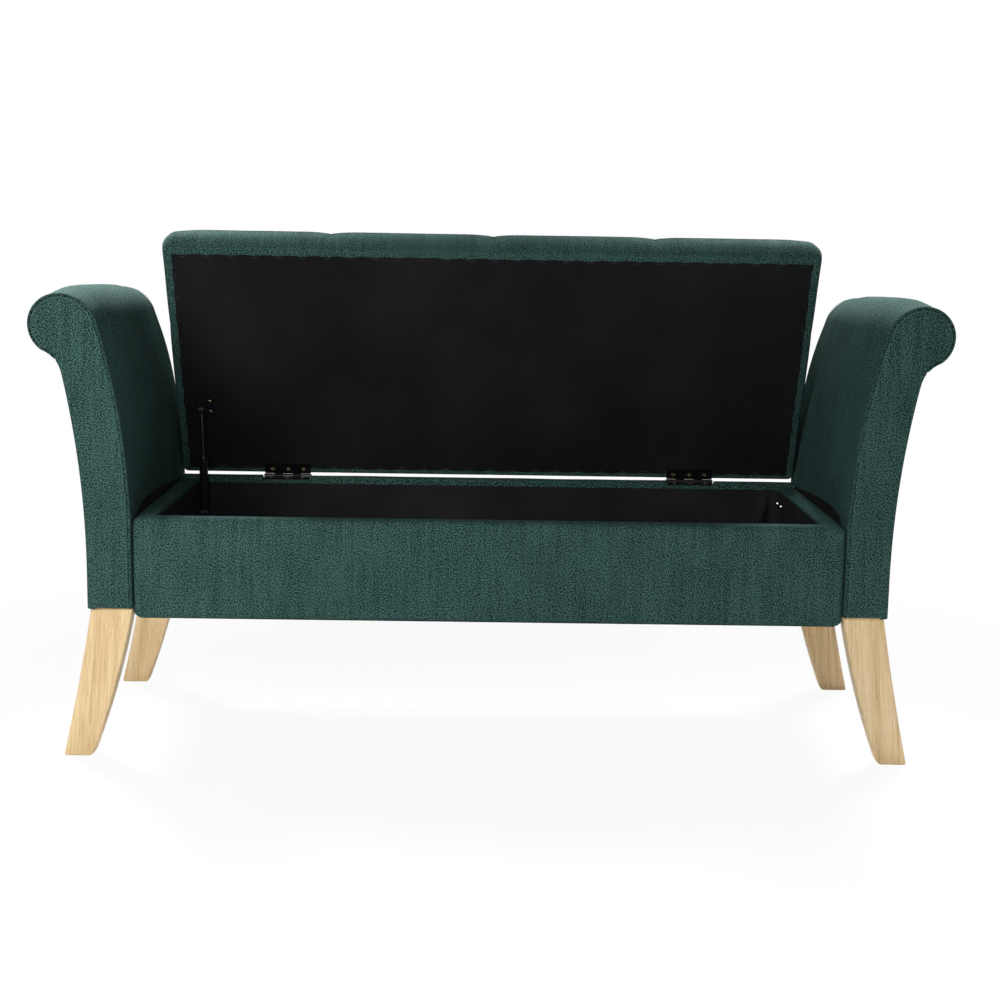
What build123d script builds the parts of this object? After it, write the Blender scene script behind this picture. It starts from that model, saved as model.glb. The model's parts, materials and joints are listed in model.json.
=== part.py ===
from build123d import *
import os
from math import asin, atan2, cos, degrees, hypot, radians, sin, sqrt

# Upholstered storage bench with scrolled arms, sabre legs and a lid held open by a gas strut.
# Millimetres. X runs along the bench, the front faces -Y and Z is up from the floor.
# The lid is drawn closed, then turned open about its hinge pins.

# Whole bench
BENCH_WIDTH = 1300.0
ARM_DEPTH = 440.0
ARM_HEIGHT = 670.0
LEG_HEIGHT = 222.0
ARM_REACH = 138.5
FRONT_Y = -235.0
HINGE_INSET_Y = 30.0
LID_OPEN = 67.5
SHANK_FIT = 0.05
FASTENER_SIDES = 6
BARREL_SIDES = 12
BORE_SIDES = 16

# Storage box
BOX_HEIGHT = 147.0
BOX_DROP = 15.0
PANEL_RECESS = 3.0
FRONT_PAD = 8.0
SIDE_PAD = 4.0
BACK_PAD = 2.5
RIM_PAD = 2.5
PANEL_EDGE_R = 8.0
BOARD_T = 18.0
SIDE_BOARD_T = 25.0
LINING_T = 2.0
TURN_DOWN = 10.0
BATTEN_W = 18.0
BATTEN_H = 16.5
FLOOR_BOARD_T = 9.0
DUST_CLOTH_T = 1.0
DUST_CLOTH_INSET = 10.0

# Arms
ARM_FOOT_T = 64.0
FLARE_DROP = 24.0
TOP_R = 55.0
SCROLL_R = 44.0
NOTCH_ANGLE = -85.0
OUTER_FLARE_RISE = 58.0
ARM_PAD_T = 12.5
OUTER_PANEL_T = 3.0
FRONT_FACING_T = 5.0
REAR_FACING_T = 3.0
ARM_BOARD_T = 12.0
BOTTOM_RAIL_H = 25.0
SEAT_RAIL_W = 18.0
SEAT_RAIL_H = 30.0
SEAT_RAIL_DROP = 9.0
TOP_RAIL = 30.0
GAP_LINING_T = 1.5
GAP_SETBACK = 35.0
GAP_REAR = 1.5
GAP_DROP = 5.0
GAP_RISE = 24.0

# Legs and their fixings
LEG_T = 28.0
LEG_INSET = 7.0
LEG_TOP_W = 60.0
LEG_FOOT_W = 42.0
LEG_SPLAY = 63.0
LEG_INNER_BOW = 5.5
LEG_OUTER_BOW = 2.0
LEG_EDGE_EASE = 2.0
LEG_BOLT_R = 4.0
LEG_BOLT_DEPTH = 40.0
LEG_BOLT_OFFSET = 4.0
LEG_NUT_R = 5.5
LEG_NUT_DEPTH = 10.0
NUT_FLANGE_R = 8.0
NUT_FLANGE_T = 1.5

# Bolts that hold the arms to the box
ARM_BOLT_R = 3.0
ARM_BOLT_HEAD_R = 6.5
ARM_BOLT_HEAD_T = 2.5
ARM_BOLT_DROP = 26.0
ARM_BOLT_EDGE = 14.0
ARM_BOLT_PITCH = 32.0
ARM_NUT_R = 4.5
ARM_NUT_DEPTH = 9.0

# Butt hinges
HINGE_INSET_X = 176.5
HINGE_LENGTH = 76.0
LEAF_T = 2.0
LEAF_W = 22.0
LEAF_GAP = 1.0
KNUCKLE_R = 4.0
KNUCKLE_RELIEF = 0.5
KNUCKLE_COUNT = 5
KNUCKLE_GAP = 0.3
PIN_R = 2.0
PIN_HEAD_R = 3.2
PIN_HEAD_T = 1.5
PIN_FIT = 0.05
SCREW_PITCH = 26.0
SCREW_OFFSET = 13.0
SCREW_HEAD_R = 3.0
SCREW_SHANK_R = 1.5
SCREW_LENGTH = 11.0

# Lid and seat cushion, heights from the lid's underside
LID_SIDE_GAP = 3.0
LID_SETBACK = 1.0
LID_CLOTH_T = 1.0
LID_BORDER = 11.0
LID_REAR_BORDER = 8.0
LID_BOARD_T = 12.0
LID_COVER_T = 3.0
LID_CORNER_R = 18.0
SIDE_DRAW = 1.0
SEAT_EDGE_H = 62.0
SEAT_CREST_H = 84.0
SEAT_VALLEY_H = 72.0
TUFT_COLUMNS = 3
TUFT_ROWS = 2
BUTTON_R = 12.0
BUTTON_H = 8.0
BUTTON_RIM = 2.0
BUTTON_TIERS = 2
BUTTON_SINK = 4.0

# Gas strut: the foot pivot is measured from the hinge pin, the lid pivot along the lid
STRUT_OFF_WALL = 12.5
STRUT_FOOT_AHEAD = 34.0
STRUT_FOOT_BELOW = 57.0
STRUT_LID_ALONG = 129.0
STRUT_LID_BELOW = 12.0
CYLINDER_R = 7.0
CYLINDER_WALL = 1.2
CYLINDER_LENGTH = 85.0
CYLINDER_CAP_T = 2.0
GLAND_T = 5.0
ROD_R = 3.0
ROD_FIT = 0.05
PISTON_GAP = 0.3
PISTON_T = 4.0
SOCKET_R = 6.0
SOCKET_W = 8.0
SOCKET_SHANK_R = 3.5
SOCKET_REACH = 9.0
BRACKET_T = 1.5
BRACKET_W = 13.0
BRACKET_CORNER = 3.0
FOOT_PLATE_L = 32.0
LID_PLATE_L = 38.0
LID_TAB_W = 10.0
LID_TAB_BELOW = 6.0
BRACKET_SCREW_R = 3.0
BRACKET_HEAD_T = 1.6
BRACKET_SHANK_R = 1.4
BRACKET_SCREW_LENGTH = 10.0
FOOT_SCREW_PITCH = 22.0
LID_SCREW_PITCH = 18.5
FOOT_PIN_R = 3.0
FOOT_PIN_HEAD_R = 4.5
FOOT_PIN_HEAD_T = 1.0
STUD_R = 2.5
OPEN_PIVOT_GAP = 0.4

# Places that follow from the sizes above
ARM_REAR = FRONT_Y + ARM_DEPTH
BOX_HALF = BENCH_WIDTH / 2 - ARM_REACH
BOX_BOTTOM_Z = LEG_HEIGHT - BOX_DROP
RIM_Z = BOX_BOTTOM_Z + BOX_HEIGHT
HINGE_X = BOX_HALF - HINGE_INSET_X
HINGE_Y = ARM_REAR - HINGE_INSET_Y
HINGE_Z = RIM_Z + LEAF_T + LEAF_GAP / 2
KNUCKLE_STANDOFF = KNUCKLE_R + KNUCKLE_RELIEF
BOX_FRONT = FRONT_Y + PANEL_RECESS
BOX_REAR = HINGE_Y - KNUCKLE_STANDOFF
FRONT_BOARD_Y = BOX_FRONT + FRONT_PAD
INNER_FRONT = FRONT_BOARD_Y + BOARD_T
BACK_BOARD_REAR = BOX_REAR - BACK_PAD
INNER_BACK = BACK_BOARD_REAR - BOARD_T
SIDE_BOARD_X = BOX_HALF - SIDE_PAD
INNER_SIDE = SIDE_BOARD_X - SIDE_BOARD_T
BOARD_TOP = RIM_Z - RIM_PAD
BOARD_BOTTOM = BOX_BOTTOM_Z + RIM_PAD
FLOOR_BOARD_Z = BOARD_BOTTOM + BATTEN_H
LINING_Z = FLOOR_BOARD_Z + FLOOR_BOARD_T
LINING_TOP = RIM_Z - TURN_DOWN
WALL_X = INNER_SIDE - LINING_T
ARM_INNER = BOX_HALF
ARM_OUTER = ARM_INNER + ARM_FOOT_T
FLARE_Z = RIM_Z - FLARE_DROP
OUTER_FLARE_Z = LEG_HEIGHT + OUTER_FLARE_RISE
SEAT_RAIL_Z = RIM_Z - SEAT_RAIL_DROP
CORE_FRONT = FRONT_Y + FRONT_FACING_T
CORE_REAR = ARM_REAR - REAR_FACING_T
CORE_INNER = ARM_INNER + ARM_PAD_T
GAP_FRONT_Y = FRONT_Y + GAP_SETBACK
GAP_REAR_Y = BOX_REAR + GAP_REAR
ARM_BOLT_Z = RIM_Z - ARM_BOLT_DROP
LID_UNDER = HINGE_Z + LEAF_GAP / 2 + LEAF_T
LID_HALF = BOX_HALF - LID_SIDE_GAP
LID_FRONT = BOX_FRONT + LID_SETBACK
LID_REAR = BOX_REAR
LID_BOARD_Z = LID_UNDER + LID_CLOTH_T
STRUT_X = STRUT_OFF_WALL - WALL_X
CYLINDER_BORE_R = CYLINDER_R - CYLINDER_WALL
PISTON_R = CYLINDER_BORE_R - PISTON_GAP
HINGE_AXIS = Axis((0, HINGE_Y, HINGE_Z), (-1, 0, 0))


def block(x0, x1, y0, y1, z0, z1):
    """A box between two corners."""
    centre = ((x0 + x1) / 2, (y0 + y1) / 2, (z0 + z1) / 2)
    return Pos(*centre) * Box(x1 - x0, y1 - y0, z1 - z0)


def slab_y(face, y0, y1):
    """A face drawn in X and Z, run from y0 to y1."""
    return extrude(Plane(origin=(0, y1, 0), x_dir=(1, 0, 0), z_dir=(0, -1, 0)) * face, amount=y1 - y0)


def slab_x(face, x0, x1):
    """A face drawn in Y and Z, run from x0 to x1."""
    return extrude(Plane(origin=(x0, 0, 0), x_dir=(0, 1, 0), z_dir=(1, 0, 0)) * face, amount=x1 - x0)


def rod_along(start, direction, radius, length):
    """A round bar from a point along a direction."""
    return extrude(Plane(origin=start, z_dir=direction) * Circle(radius), amount=length)


def rod_x(x0, x1, y, z, radius):
    """A round bar along X."""
    return rod_along((x0, y, z), (1, 0, 0), radius, x1 - x0)


def bar_along(start, direction, radius, length, sides=FASTENER_SIDES):
    """A many-sided bar, for small fasteners and the holes that they fill."""
    return extrude(Plane(origin=start, z_dir=direction) * RegularPolygon(radius, sides), amount=length)


def bar_x(x0, x1, y, z, radius, sides=FASTENER_SIDES):
    """A many-sided bar along X."""
    return bar_along((x0, y, z), (1, 0, 0), radius, x1 - x0, sides)


def bore_x(x0, x1, y, z, radius):
    """A many-sided hole along X, its flats at the radius so that a round pin runs in it."""
    outline = RegularPolygon(radius, BORE_SIDES, major_radius=False)
    return extrude(Plane(origin=(x0, y, z), z_dir=(1, 0, 0)) * outline, amount=x1 - x0)


def flip(shape):
    """The same piece at the other end of the bench."""
    return mirror(shape, about=Plane.YZ)


def group(solids):
    """Separate solids kept in one node."""
    return Compound(children=list(solids))


def opened(shape):
    """A lid piece turned from closed to open."""
    return shape.rotate(HINGE_AXIS, LID_OPEN)


def arc_face(points_and_mids):
    """A closed face of lines and arcs: each entry is (end point, point on the arc or None)."""
    edges = []
    last = points_and_mids[-1][0]
    for end, mid in points_and_mids:
        if mid is None:
            edges.append(Line(last, end))
        else:
            edges.append(ThreePointArc(last, mid, end))
        last = end
    return make_face(edges)


# Storage box

def box_boards():
    front = block(-SIDE_BOARD_X, SIDE_BOARD_X, FRONT_BOARD_Y, INNER_FRONT, BOARD_BOTTOM, BOARD_TOP)
    back = block(-SIDE_BOARD_X, SIDE_BOARD_X, INNER_BACK, BACK_BOARD_REAR, BOARD_BOTTOM, BOARD_TOP)
    right = block(INNER_SIDE, SIDE_BOARD_X, INNER_FRONT, INNER_BACK, BOARD_BOTTOM, BOARD_TOP)
    floor = block(-INNER_SIDE, INNER_SIDE, INNER_FRONT, INNER_BACK, FLOOR_BOARD_Z, LINING_Z)
    return front, back, flip(right), right, floor


def bottom_battens():
    ends = INNER_SIDE - BATTEN_W
    front = block(-INNER_SIDE, INNER_SIDE, INNER_FRONT, INNER_FRONT + BATTEN_W, BOARD_BOTTOM, FLOOR_BOARD_Z)
    back = block(-INNER_SIDE, INNER_SIDE, INNER_BACK - BATTEN_W, INNER_BACK, BOARD_BOTTOM, FLOOR_BOARD_Z)
    side_front = INNER_FRONT + BATTEN_W
    side_back = INNER_BACK - BATTEN_W
    right = block(ends, INNER_SIDE, side_front, side_back, BOARD_BOTTOM, FLOOR_BOARD_Z)
    return group([front, back, right, flip(right)])


def rim_cover(outer, board, lip):
    """Fabric round one wall: its outer form less the board, with a lip turned down inside."""
    return outer - board + lip


def box_covers(front_board, back_board, right_board):
    outer = block(-BOX_HALF, BOX_HALF, BOX_FRONT, INNER_FRONT, BOX_BOTTOM_Z, RIM_Z)
    face_edges = outer.faces().sort_by(Axis.Y)[0].edges()
    outer = fillet(face_edges, PANEL_EDGE_R)
    lip = block(-INNER_SIDE, INNER_SIDE, INNER_FRONT, INNER_FRONT + LINING_T, LINING_TOP, RIM_Z)
    front = rim_cover(outer, front_board, lip)

    outer = block(-BOX_HALF, BOX_HALF, INNER_BACK, BOX_REAR, BOX_BOTTOM_Z, RIM_Z)
    lip = block(-INNER_SIDE, INNER_SIDE, INNER_BACK - LINING_T, INNER_BACK, LINING_TOP, RIM_Z)
    back = rim_cover(outer, back_board, lip)

    outer = block(INNER_SIDE, BOX_HALF, INNER_FRONT, INNER_BACK, BOX_BOTTOM_Z, RIM_Z)
    lip = block(WALL_X, INNER_SIDE, INNER_FRONT + LINING_T, INNER_BACK - LINING_T, LINING_TOP, RIM_Z)
    right = rim_cover(outer, right_board, lip)
    return front, back, flip(right), right


def storage_lining():
    tub = block(-INNER_SIDE, INNER_SIDE, INNER_FRONT, INNER_BACK, LINING_Z, LINING_TOP)
    well_front = INNER_FRONT + LINING_T
    well_back = INNER_BACK - LINING_T
    return tub - block(-WALL_X, WALL_X, well_front, well_back, LINING_Z + LINING_T, RIM_Z)


def bottom_dust_cover():
    side = BOX_HALF - DUST_CLOTH_INSET
    front = BOX_FRONT + DUST_CLOTH_INSET
    back = BOX_REAR - DUST_CLOTH_INSET
    return block(-side, side, front, back, BOX_BOTTOM_Z - DUST_CLOTH_T, BOX_BOTTOM_Z)


# Arms, drawn at the right-hand end

def on_circle(centre, radius, angle):
    return (centre[0] + radius * cos(radians(angle)), centre[1] + radius * sin(radians(angle)))


def lower_crossing(centre_a, radius_a, centre_b, radius_b):
    """The lower of the two points where two circles cross."""
    dx = centre_b[0] - centre_a[0]
    dy = centre_b[1] - centre_a[1]
    span = hypot(dx, dy)
    along = (radius_a**2 - radius_b**2 + span**2) / (2 * span)
    across = sqrt(radius_a**2 - along**2)
    middle = (centre_a[0] + along * dx / span, centre_a[1] + along * dy / span)
    pair = [
        (middle[0] - across * dy / span, middle[1] + across * dx / span),
        (middle[0] + across * dy / span, middle[1] - across * dx / span),
    ]
    return min(pair, key=lambda point: point[1])


def arm_curves():
    """Centre and radius of each arc in the arm's outline: inner flare, top, scroll and outer flare."""
    scroll_x = BENCH_WIDTH / 2 - SCROLL_R
    reach = scroll_x - ARM_INNER
    rise = ARM_HEIGHT - TOP_R - FLARE_Z
    flare_r = (rise**2 + reach**2 - TOP_R**2) / (2 * (reach - TOP_R))
    scroll_centre = (scroll_x, ARM_HEIGHT - SCROLL_R)
    notch = on_circle(scroll_centre, SCROLL_R, NOTCH_ANGLE)
    lean_out = notch[0] - ARM_OUTER
    climb = notch[1] - OUTER_FLARE_Z
    outer_r = (lean_out**2 + climb**2) / (2 * lean_out)
    return (
        ((ARM_INNER + flare_r, FLARE_Z), flare_r),
        ((scroll_x, ARM_HEIGHT - TOP_R), TOP_R),
        (scroll_centre, SCROLL_R),
        ((ARM_OUTER + outer_r, OUTER_FLARE_Z), outer_r),
    )


def arm_section(inset, outer_inset):
    """The arm's outline seen from the front, drawn in by a pad and by the outer panel."""
    (flare_centre, flare), (top_centre, top), (scroll_centre, scroll), (outer_centre, outer) = arm_curves()
    lean = degrees(asin((top_centre[1] - FLARE_Z) / (flare - top)))
    flare -= inset
    top -= inset
    scroll -= inset
    outer += outer_inset
    inner_x = ARM_INNER + inset
    outer_x = ARM_OUTER - outer_inset
    notch = lower_crossing(scroll_centre, scroll, outer_centre, outer)
    scroll_end = degrees(atan2(notch[1] - scroll_centre[1], notch[0] - scroll_centre[0]))
    outer_start = degrees(atan2(notch[1] - outer_centre[1], notch[0] - outer_centre[0]))
    return arc_face([
        ((inner_x, LEG_HEIGHT), None),
        ((inner_x, FLARE_Z), None),
        (on_circle(flare_centre, flare, 180 - lean), on_circle(flare_centre, flare, 180 - lean / 2)),
        (on_circle(top_centre, top, 90), on_circle(top_centre, top, 135 - lean / 2)),
        (on_circle(scroll_centre, scroll, 0), on_circle(scroll_centre, scroll, 45)),
        (notch, on_circle(scroll_centre, scroll, scroll_end / 2)),
        ((outer_x, OUTER_FLARE_Z), on_circle(outer_centre, outer, (180 + outer_start) / 2)),
        ((outer_x, LEG_HEIGHT), None),
    ])


def gap_outline():
    """The bare lower part of an arm's inner side, up to the arched hem of its pad."""
    end_z = RIM_Z - GAP_DROP
    middle_y = (GAP_FRONT_Y + GAP_REAR_Y) / 2
    return arc_face([
        ((GAP_FRONT_Y, LEG_HEIGHT), None),
        ((GAP_REAR_Y, LEG_HEIGHT), None),
        ((GAP_REAR_Y, end_z), None),
        ((GAP_FRONT_Y, end_z), (middle_y, end_z + GAP_RISE)),
    ])


def arm_bolt_places():
    """Where the arm bolts pass through each end wall, in Y and Z."""
    back = INNER_BACK - LINING_T - ARM_BOLT_EDGE
    front = INNER_FRONT + LINING_T + ARM_BOLT_EDGE
    rows = (back, back - ARM_BOLT_PITCH, front + ARM_BOLT_PITCH, front)
    return [(y, ARM_BOLT_Z) for y in rows]


def arm_bolt_holes(radius):
    end = CORE_INNER + NUT_FLANGE_T
    return [bar_x(WALL_X, end, y, z, radius) for y, z in arm_bolt_places()]


def right_arm():
    full = arm_section(0, 0)
    inside_panel = arm_section(0, OUTER_PANEL_T)
    core = arm_section(ARM_PAD_T, OUTER_PANEL_T)
    gap = gap_outline()
    front_rail = CORE_FRONT + ARM_BOARD_T
    rear_rail = CORE_REAR - ARM_BOARD_T
    scroll_x, scroll_z = arm_curves()[2][0]
    half = TOP_RAIL / 2

    bottom_rail = block(CORE_INNER, ARM_OUTER - OUTER_PANEL_T, front_rail, rear_rail,
                        LEG_HEIGHT, LEG_HEIGHT + BOTTOM_RAIL_H)
    seat_rail = block(CORE_INNER, CORE_INNER + SEAT_RAIL_W, front_rail, rear_rail,
                      SEAT_RAIL_Z, SEAT_RAIL_Z + SEAT_RAIL_H)
    top_rail = block(scroll_x - half, scroll_x + half, front_rail, rear_rail,
                     scroll_z - half, scroll_z + half)
    inside = slab_y(core, front_rail, rear_rail)
    seat_rail = seat_rail & inside
    top_rail = top_rail & inside
    for y in leg_bolt_rows():
        x = leg_bolt_x()
        bottom_rail -= bar_along((x, y, LEG_HEIGHT), (0, 0, 1), LEG_BOLT_R + SHANK_FIT, BOTTOM_RAIL_H)
        nut_z = LEG_HEIGHT + BOTTOM_RAIL_H - LEG_NUT_DEPTH
        bottom_rail -= bar_along((x, y, nut_z), (0, 0, 1), LEG_NUT_R, LEG_NUT_DEPTH)

    inner_board = slab_x(gap, ARM_INNER + GAP_LINING_T, CORE_INNER)
    gap_lining = slab_x(gap, ARM_INNER, ARM_INNER + GAP_LINING_T)
    bare = slab_x(gap, ARM_INNER, CORE_INNER + ARM_PAD_T)
    nut_x = CORE_INNER - ARM_NUT_DEPTH
    for y, z in arm_bolt_places():
        inner_board -= bar_x(nut_x, CORE_INNER, y, z, ARM_NUT_R)
    for hole in arm_bolt_holes(ARM_BOLT_R + SHANK_FIT):
        inner_board -= hole
        gap_lining -= hole
    return {
        "arm_front_facing": slab_y(full, FRONT_Y, CORE_FRONT),
        "arm_rear_facing": slab_y(full, CORE_REAR, ARM_REAR),
        "arm_front_board": slab_y(core, CORE_FRONT, front_rail),
        "arm_rear_board": slab_y(core, rear_rail, CORE_REAR),
        "arm_outer_panel": slab_y(full - inside_panel, CORE_FRONT, CORE_REAR),
        "arm_inner_pad": slab_y(inside_panel - core, CORE_FRONT, CORE_REAR) - bare,
        "arm_inner_board": inner_board,
        "arm_gap_lining": gap_lining,
        "arm_rails": group([bottom_rail, seat_rail, top_rail]),
    }


def arm_bolts():
    bolts = []
    for y, z in arm_bolt_places():
        shank = bar_x(WALL_X, CORE_INNER + NUT_FLANGE_T, y, z, ARM_BOLT_R)
        head = bar_x(WALL_X - ARM_BOLT_HEAD_T, WALL_X, y, z, ARM_BOLT_HEAD_R)
        head = chamfer(head.faces().sort_by(Axis.X)[0].edges(), ARM_BOLT_HEAD_T / 2)
        bolts.append(head + shank)
    return group(bolts + [flip(bolt) for bolt in bolts])


def arm_tee_nuts():
    nuts = []
    for y, z in arm_bolt_places():
        barrel = bar_x(CORE_INNER - ARM_NUT_DEPTH, CORE_INNER, y, z, ARM_NUT_R)
        flange = bar_x(CORE_INNER, CORE_INNER + NUT_FLANGE_T, y, z, NUT_FLANGE_R)
        bore = bar_x(CORE_INNER - ARM_NUT_DEPTH, CORE_INNER + NUT_FLANGE_T, y, z, ARM_BOLT_R + SHANK_FIT)
        nuts.append(barrel + flange - bore)
    return group(nuts + [flip(nut) for nut in nuts])


# Legs

def leg_bolt_rows():
    front = FRONT_Y + LEG_INSET + LEG_T / 2 + LEG_BOLT_OFFSET
    rear = ARM_REAR - LEG_INSET - LEG_T / 2 - LEG_BOLT_OFFSET
    return front, rear


def leg_bolt_x():
    return ARM_INNER + LEG_TOP_W / 2


def bowed(start, end, bow):
    """A point that bows the edge from start to end towards the middle of the bench."""
    return ((start[0] + end[0]) / 2 - bow, (start[1] + end[1]) / 2)


def right_leg(y0, bolt_y):
    top_in = (ARM_INNER, LEG_HEIGHT)
    top_out = (ARM_INNER + LEG_TOP_W, LEG_HEIGHT)
    foot_in = (ARM_INNER + LEG_SPLAY, 0)
    foot_out = (ARM_INNER + LEG_SPLAY + LEG_FOOT_W, 0)
    outline = arc_face([
        (top_in, None),
        (foot_in, bowed(top_in, foot_in, LEG_INNER_BOW)),
        (foot_out, None),
        (top_out, bowed(foot_out, top_out, LEG_OUTER_BOW)),
    ])
    leg = slab_y(outline, y0, y0 + LEG_T)
    top_z = LEG_HEIGHT - LEG_EDGE_EASE
    long_edges = [edge for edge in leg.edges() if LEG_EDGE_EASE < edge.center().Z < top_z]
    leg = chamfer(long_edges, LEG_EDGE_EASE)
    bolt_z = LEG_HEIGHT - LEG_BOLT_DEPTH
    return leg - bar_along((leg_bolt_x(), bolt_y, bolt_z), (0, 0, 1), LEG_BOLT_R + SHANK_FIT, LEG_BOLT_DEPTH)


def leg_hanger_bolts():
    bolts = []
    for y in leg_bolt_rows():
        start = (leg_bolt_x(), y, LEG_HEIGHT - LEG_BOLT_DEPTH)
        bolts.append(bar_along(start, (0, 0, 1), LEG_BOLT_R, LEG_BOLT_DEPTH + BOTTOM_RAIL_H))
    return group(bolts + [flip(bolt) for bolt in bolts])


def leg_tee_nuts():
    nuts = []
    top = LEG_HEIGHT + BOTTOM_RAIL_H
    for y in leg_bolt_rows():
        x = leg_bolt_x()
        barrel = bar_along((x, y, top - LEG_NUT_DEPTH), (0, 0, 1), LEG_NUT_R, LEG_NUT_DEPTH)
        flange = bar_along((x, y, top), (0, 0, 1), NUT_FLANGE_R, NUT_FLANGE_T)
        bore = bar_along((x, y, top - LEG_NUT_DEPTH), (0, 0, 1), LEG_BOLT_R + SHANK_FIT,
                         LEG_NUT_DEPTH + NUT_FLANGE_T)
        nuts.append(barrel + flange - bore)
    return group(nuts + [flip(nut) for nut in nuts])


# Hinges, drawn about the middle of the bench with the leaves closed flat

def knuckle_spans(first):
    """The stretches of the pin that one leaf's knuckles take: every second one."""
    pitch = HINGE_LENGTH / KNUCKLE_COUNT
    spans = []
    for index in range(first, KNUCKLE_COUNT, 2):
        start = -HINGE_LENGTH / 2 + index * pitch
        spans.append((start + KNUCKLE_GAP / 2, start + pitch - KNUCKLE_GAP / 2))
    return spans


def hinge_leaf(plate_z, first):
    root = HINGE_Y - KNUCKLE_STANDOFF
    half = HINGE_LENGTH / 2
    leaf = block(-half, half, HINGE_Y - LEAF_W, root, plate_z, plate_z + LEAF_T)
    for x0, x1 in knuckle_spans(first):
        leaf += block(x0, x1, root, HINGE_Y, plate_z, plate_z + LEAF_T)
        leaf += bar_x(x0, x1, HINGE_Y, HINGE_Z, KNUCKLE_R, BARREL_SIDES)
    return leaf - bore_x(-half, half, HINGE_Y, HINGE_Z, PIN_R + PIN_FIT)


def screw_places():
    return [(x, HINGE_Y - SCREW_OFFSET) for x in (-SCREW_PITCH, 0, SCREW_PITCH)]


def countersunk(x, y, z, up):
    """A flush screw at a point, its point downwards, or upwards where up is set."""
    head_t = SCREW_HEAD_R - SCREW_SHANK_R
    way = 1 if up else -1
    top = Plane(origin=(x, y, z), z_dir=(0, 0, way)) * RegularPolygon(SCREW_HEAD_R, FASTENER_SIDES)
    neck_at = (x, y, z + way * head_t)
    neck = Plane(origin=neck_at, z_dir=(0, 0, way)) * RegularPolygon(SCREW_SHANK_R, FASTENER_SIDES)
    head = loft([top, neck], ruled=True)
    return head + bar_along(neck_at, (0, 0, way), SCREW_SHANK_R, SCREW_LENGTH - head_t)


def hinge_pin():
    half = HINGE_LENGTH / 2
    pin = rod_x(-half, half, HINGE_Y, HINGE_Z, PIN_R)
    pin += bar_x(-half - PIN_HEAD_T, -half, HINGE_Y, HINGE_Z, PIN_HEAD_R)
    return pin + bar_x(half, half + PIN_HEAD_T, HINGE_Y, HINGE_Z, PIN_HEAD_R)


def at_hinges(shape):
    return [Pos(-HINGE_X, 0, 0) * shape, Pos(HINGE_X, 0, 0) * shape]


def hinge_screws(z, up):
    return [one for x, y in screw_places() for one in at_hinges(countersunk(x, y, z, up))]


# Lid, drawn closed

def scalloped(start, end, cells):
    """The cushion's height across the lid: a crest over each cell and a valley at each tuft line."""
    base = LID_UNDER
    step = (end - start) / cells
    outline = [((end, base), None), ((end, base + SEAT_EDGE_H), None)]
    for index in range(cells, 0, -1):
        left = start + (index - 1) * step
        height = SEAT_EDGE_H if index == 1 else SEAT_VALLEY_H
        outline.append(((left, base + height), (left + step / 2, base + SEAT_CREST_H)))
    outline.append(((start, base), None))
    return arc_face(outline)


def lid_plan():
    """The lid from above: sides and front drawn in between the corners."""
    middle = (LID_FRONT + LID_REAR) / 2
    plan = arc_face([
        ((LID_HALF, LID_REAR), None),
        ((LID_HALF, LID_FRONT), (LID_HALF - SIDE_DRAW, middle)),
        ((-LID_HALF, LID_FRONT), (0, LID_FRONT + SIDE_DRAW)),
        ((-LID_HALF, LID_REAR), (-LID_HALF + SIDE_DRAW, middle)),
    ])
    front_corners = plan.vertices().sort_by(Axis.Y)[:2]
    return fillet(front_corners, LID_CORNER_R)


def lid_board_blank():
    side = LID_HALF - LID_COVER_T - SIDE_DRAW
    front = LID_FRONT + LID_COVER_T + SIDE_DRAW
    back = LID_REAR - LID_COVER_T
    return block(-side, side, front, back, LID_BOARD_Z, LID_BOARD_Z + LID_BOARD_T)


def lid_cloth_blank():
    side = LID_HALF - LID_BORDER
    front = LID_FRONT + LID_BORDER
    back = LID_REAR - LID_REAR_BORDER
    return block(-side, side, front, back, LID_UNDER, LID_BOARD_Z)


def tuft_places():
    column = 2 * LID_HALF / (TUFT_COLUMNS + 1)
    row = (LID_REAR - LID_FRONT) / (TUFT_ROWS + 1)
    xs = [-LID_HALF + column * (index + 1) for index in range(TUFT_COLUMNS)]
    ys = [LID_FRONT + row * (index + 1) for index in range(TUFT_ROWS)]
    return [(x, y) for x in xs for y in ys]


def tuft_button():
    """A covered button: a flat back and a short rim under a low dome."""
    rise = BUTTON_H - BUTTON_RIM
    dome_r = (BUTTON_R**2 + rise**2) / (2 * rise)
    spread = asin(BUTTON_R / dome_r)
    tiers = [RegularPolygon(BUTTON_R, BARREL_SIDES)]
    for tier in range(BUTTON_TIERS):
        angle = spread * (1 - tier / BUTTON_TIERS)
        height = BUTTON_H - dome_r * (1 - cos(angle))
        tiers.append(Pos(0, 0, height) * RegularPolygon(dome_r * sin(angle), BARREL_SIDES))
    return loft(tiers, ruled=True)


def seat_cushion():
    along = slab_y(scalloped(-LID_HALF, LID_HALF, TUFT_COLUMNS + 1), LID_FRONT, LID_REAR)
    across = slab_x(scalloped(LID_FRONT, LID_REAR, TUFT_ROWS + 1), -LID_HALF, LID_HALF)
    outline = extrude(Pos(0, 0, LID_UNDER) * lid_plan(), amount=SEAT_CREST_H)
    cushion = along & across & outline
    cushion = cushion - lid_board_blank() - lid_cloth_blank()
    for x, y in tuft_places():
        seat = LID_UNDER + SEAT_VALLEY_H - BUTTON_SINK
        cushion -= bar_along((x, y, seat), (0, 0, 1), BUTTON_R, SEAT_CREST_H, BARREL_SIDES)
    return cushion


def tuft_buttons():
    seat = LID_UNDER + SEAT_VALLEY_H - BUTTON_SINK
    return [Pos(x, y, seat) * tuft_button() for x, y in tuft_places()]


# Gas strut

def strut_foot():
    return HINGE_Y - STRUT_FOOT_AHEAD, HINGE_Z - STRUT_FOOT_BELOW


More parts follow.
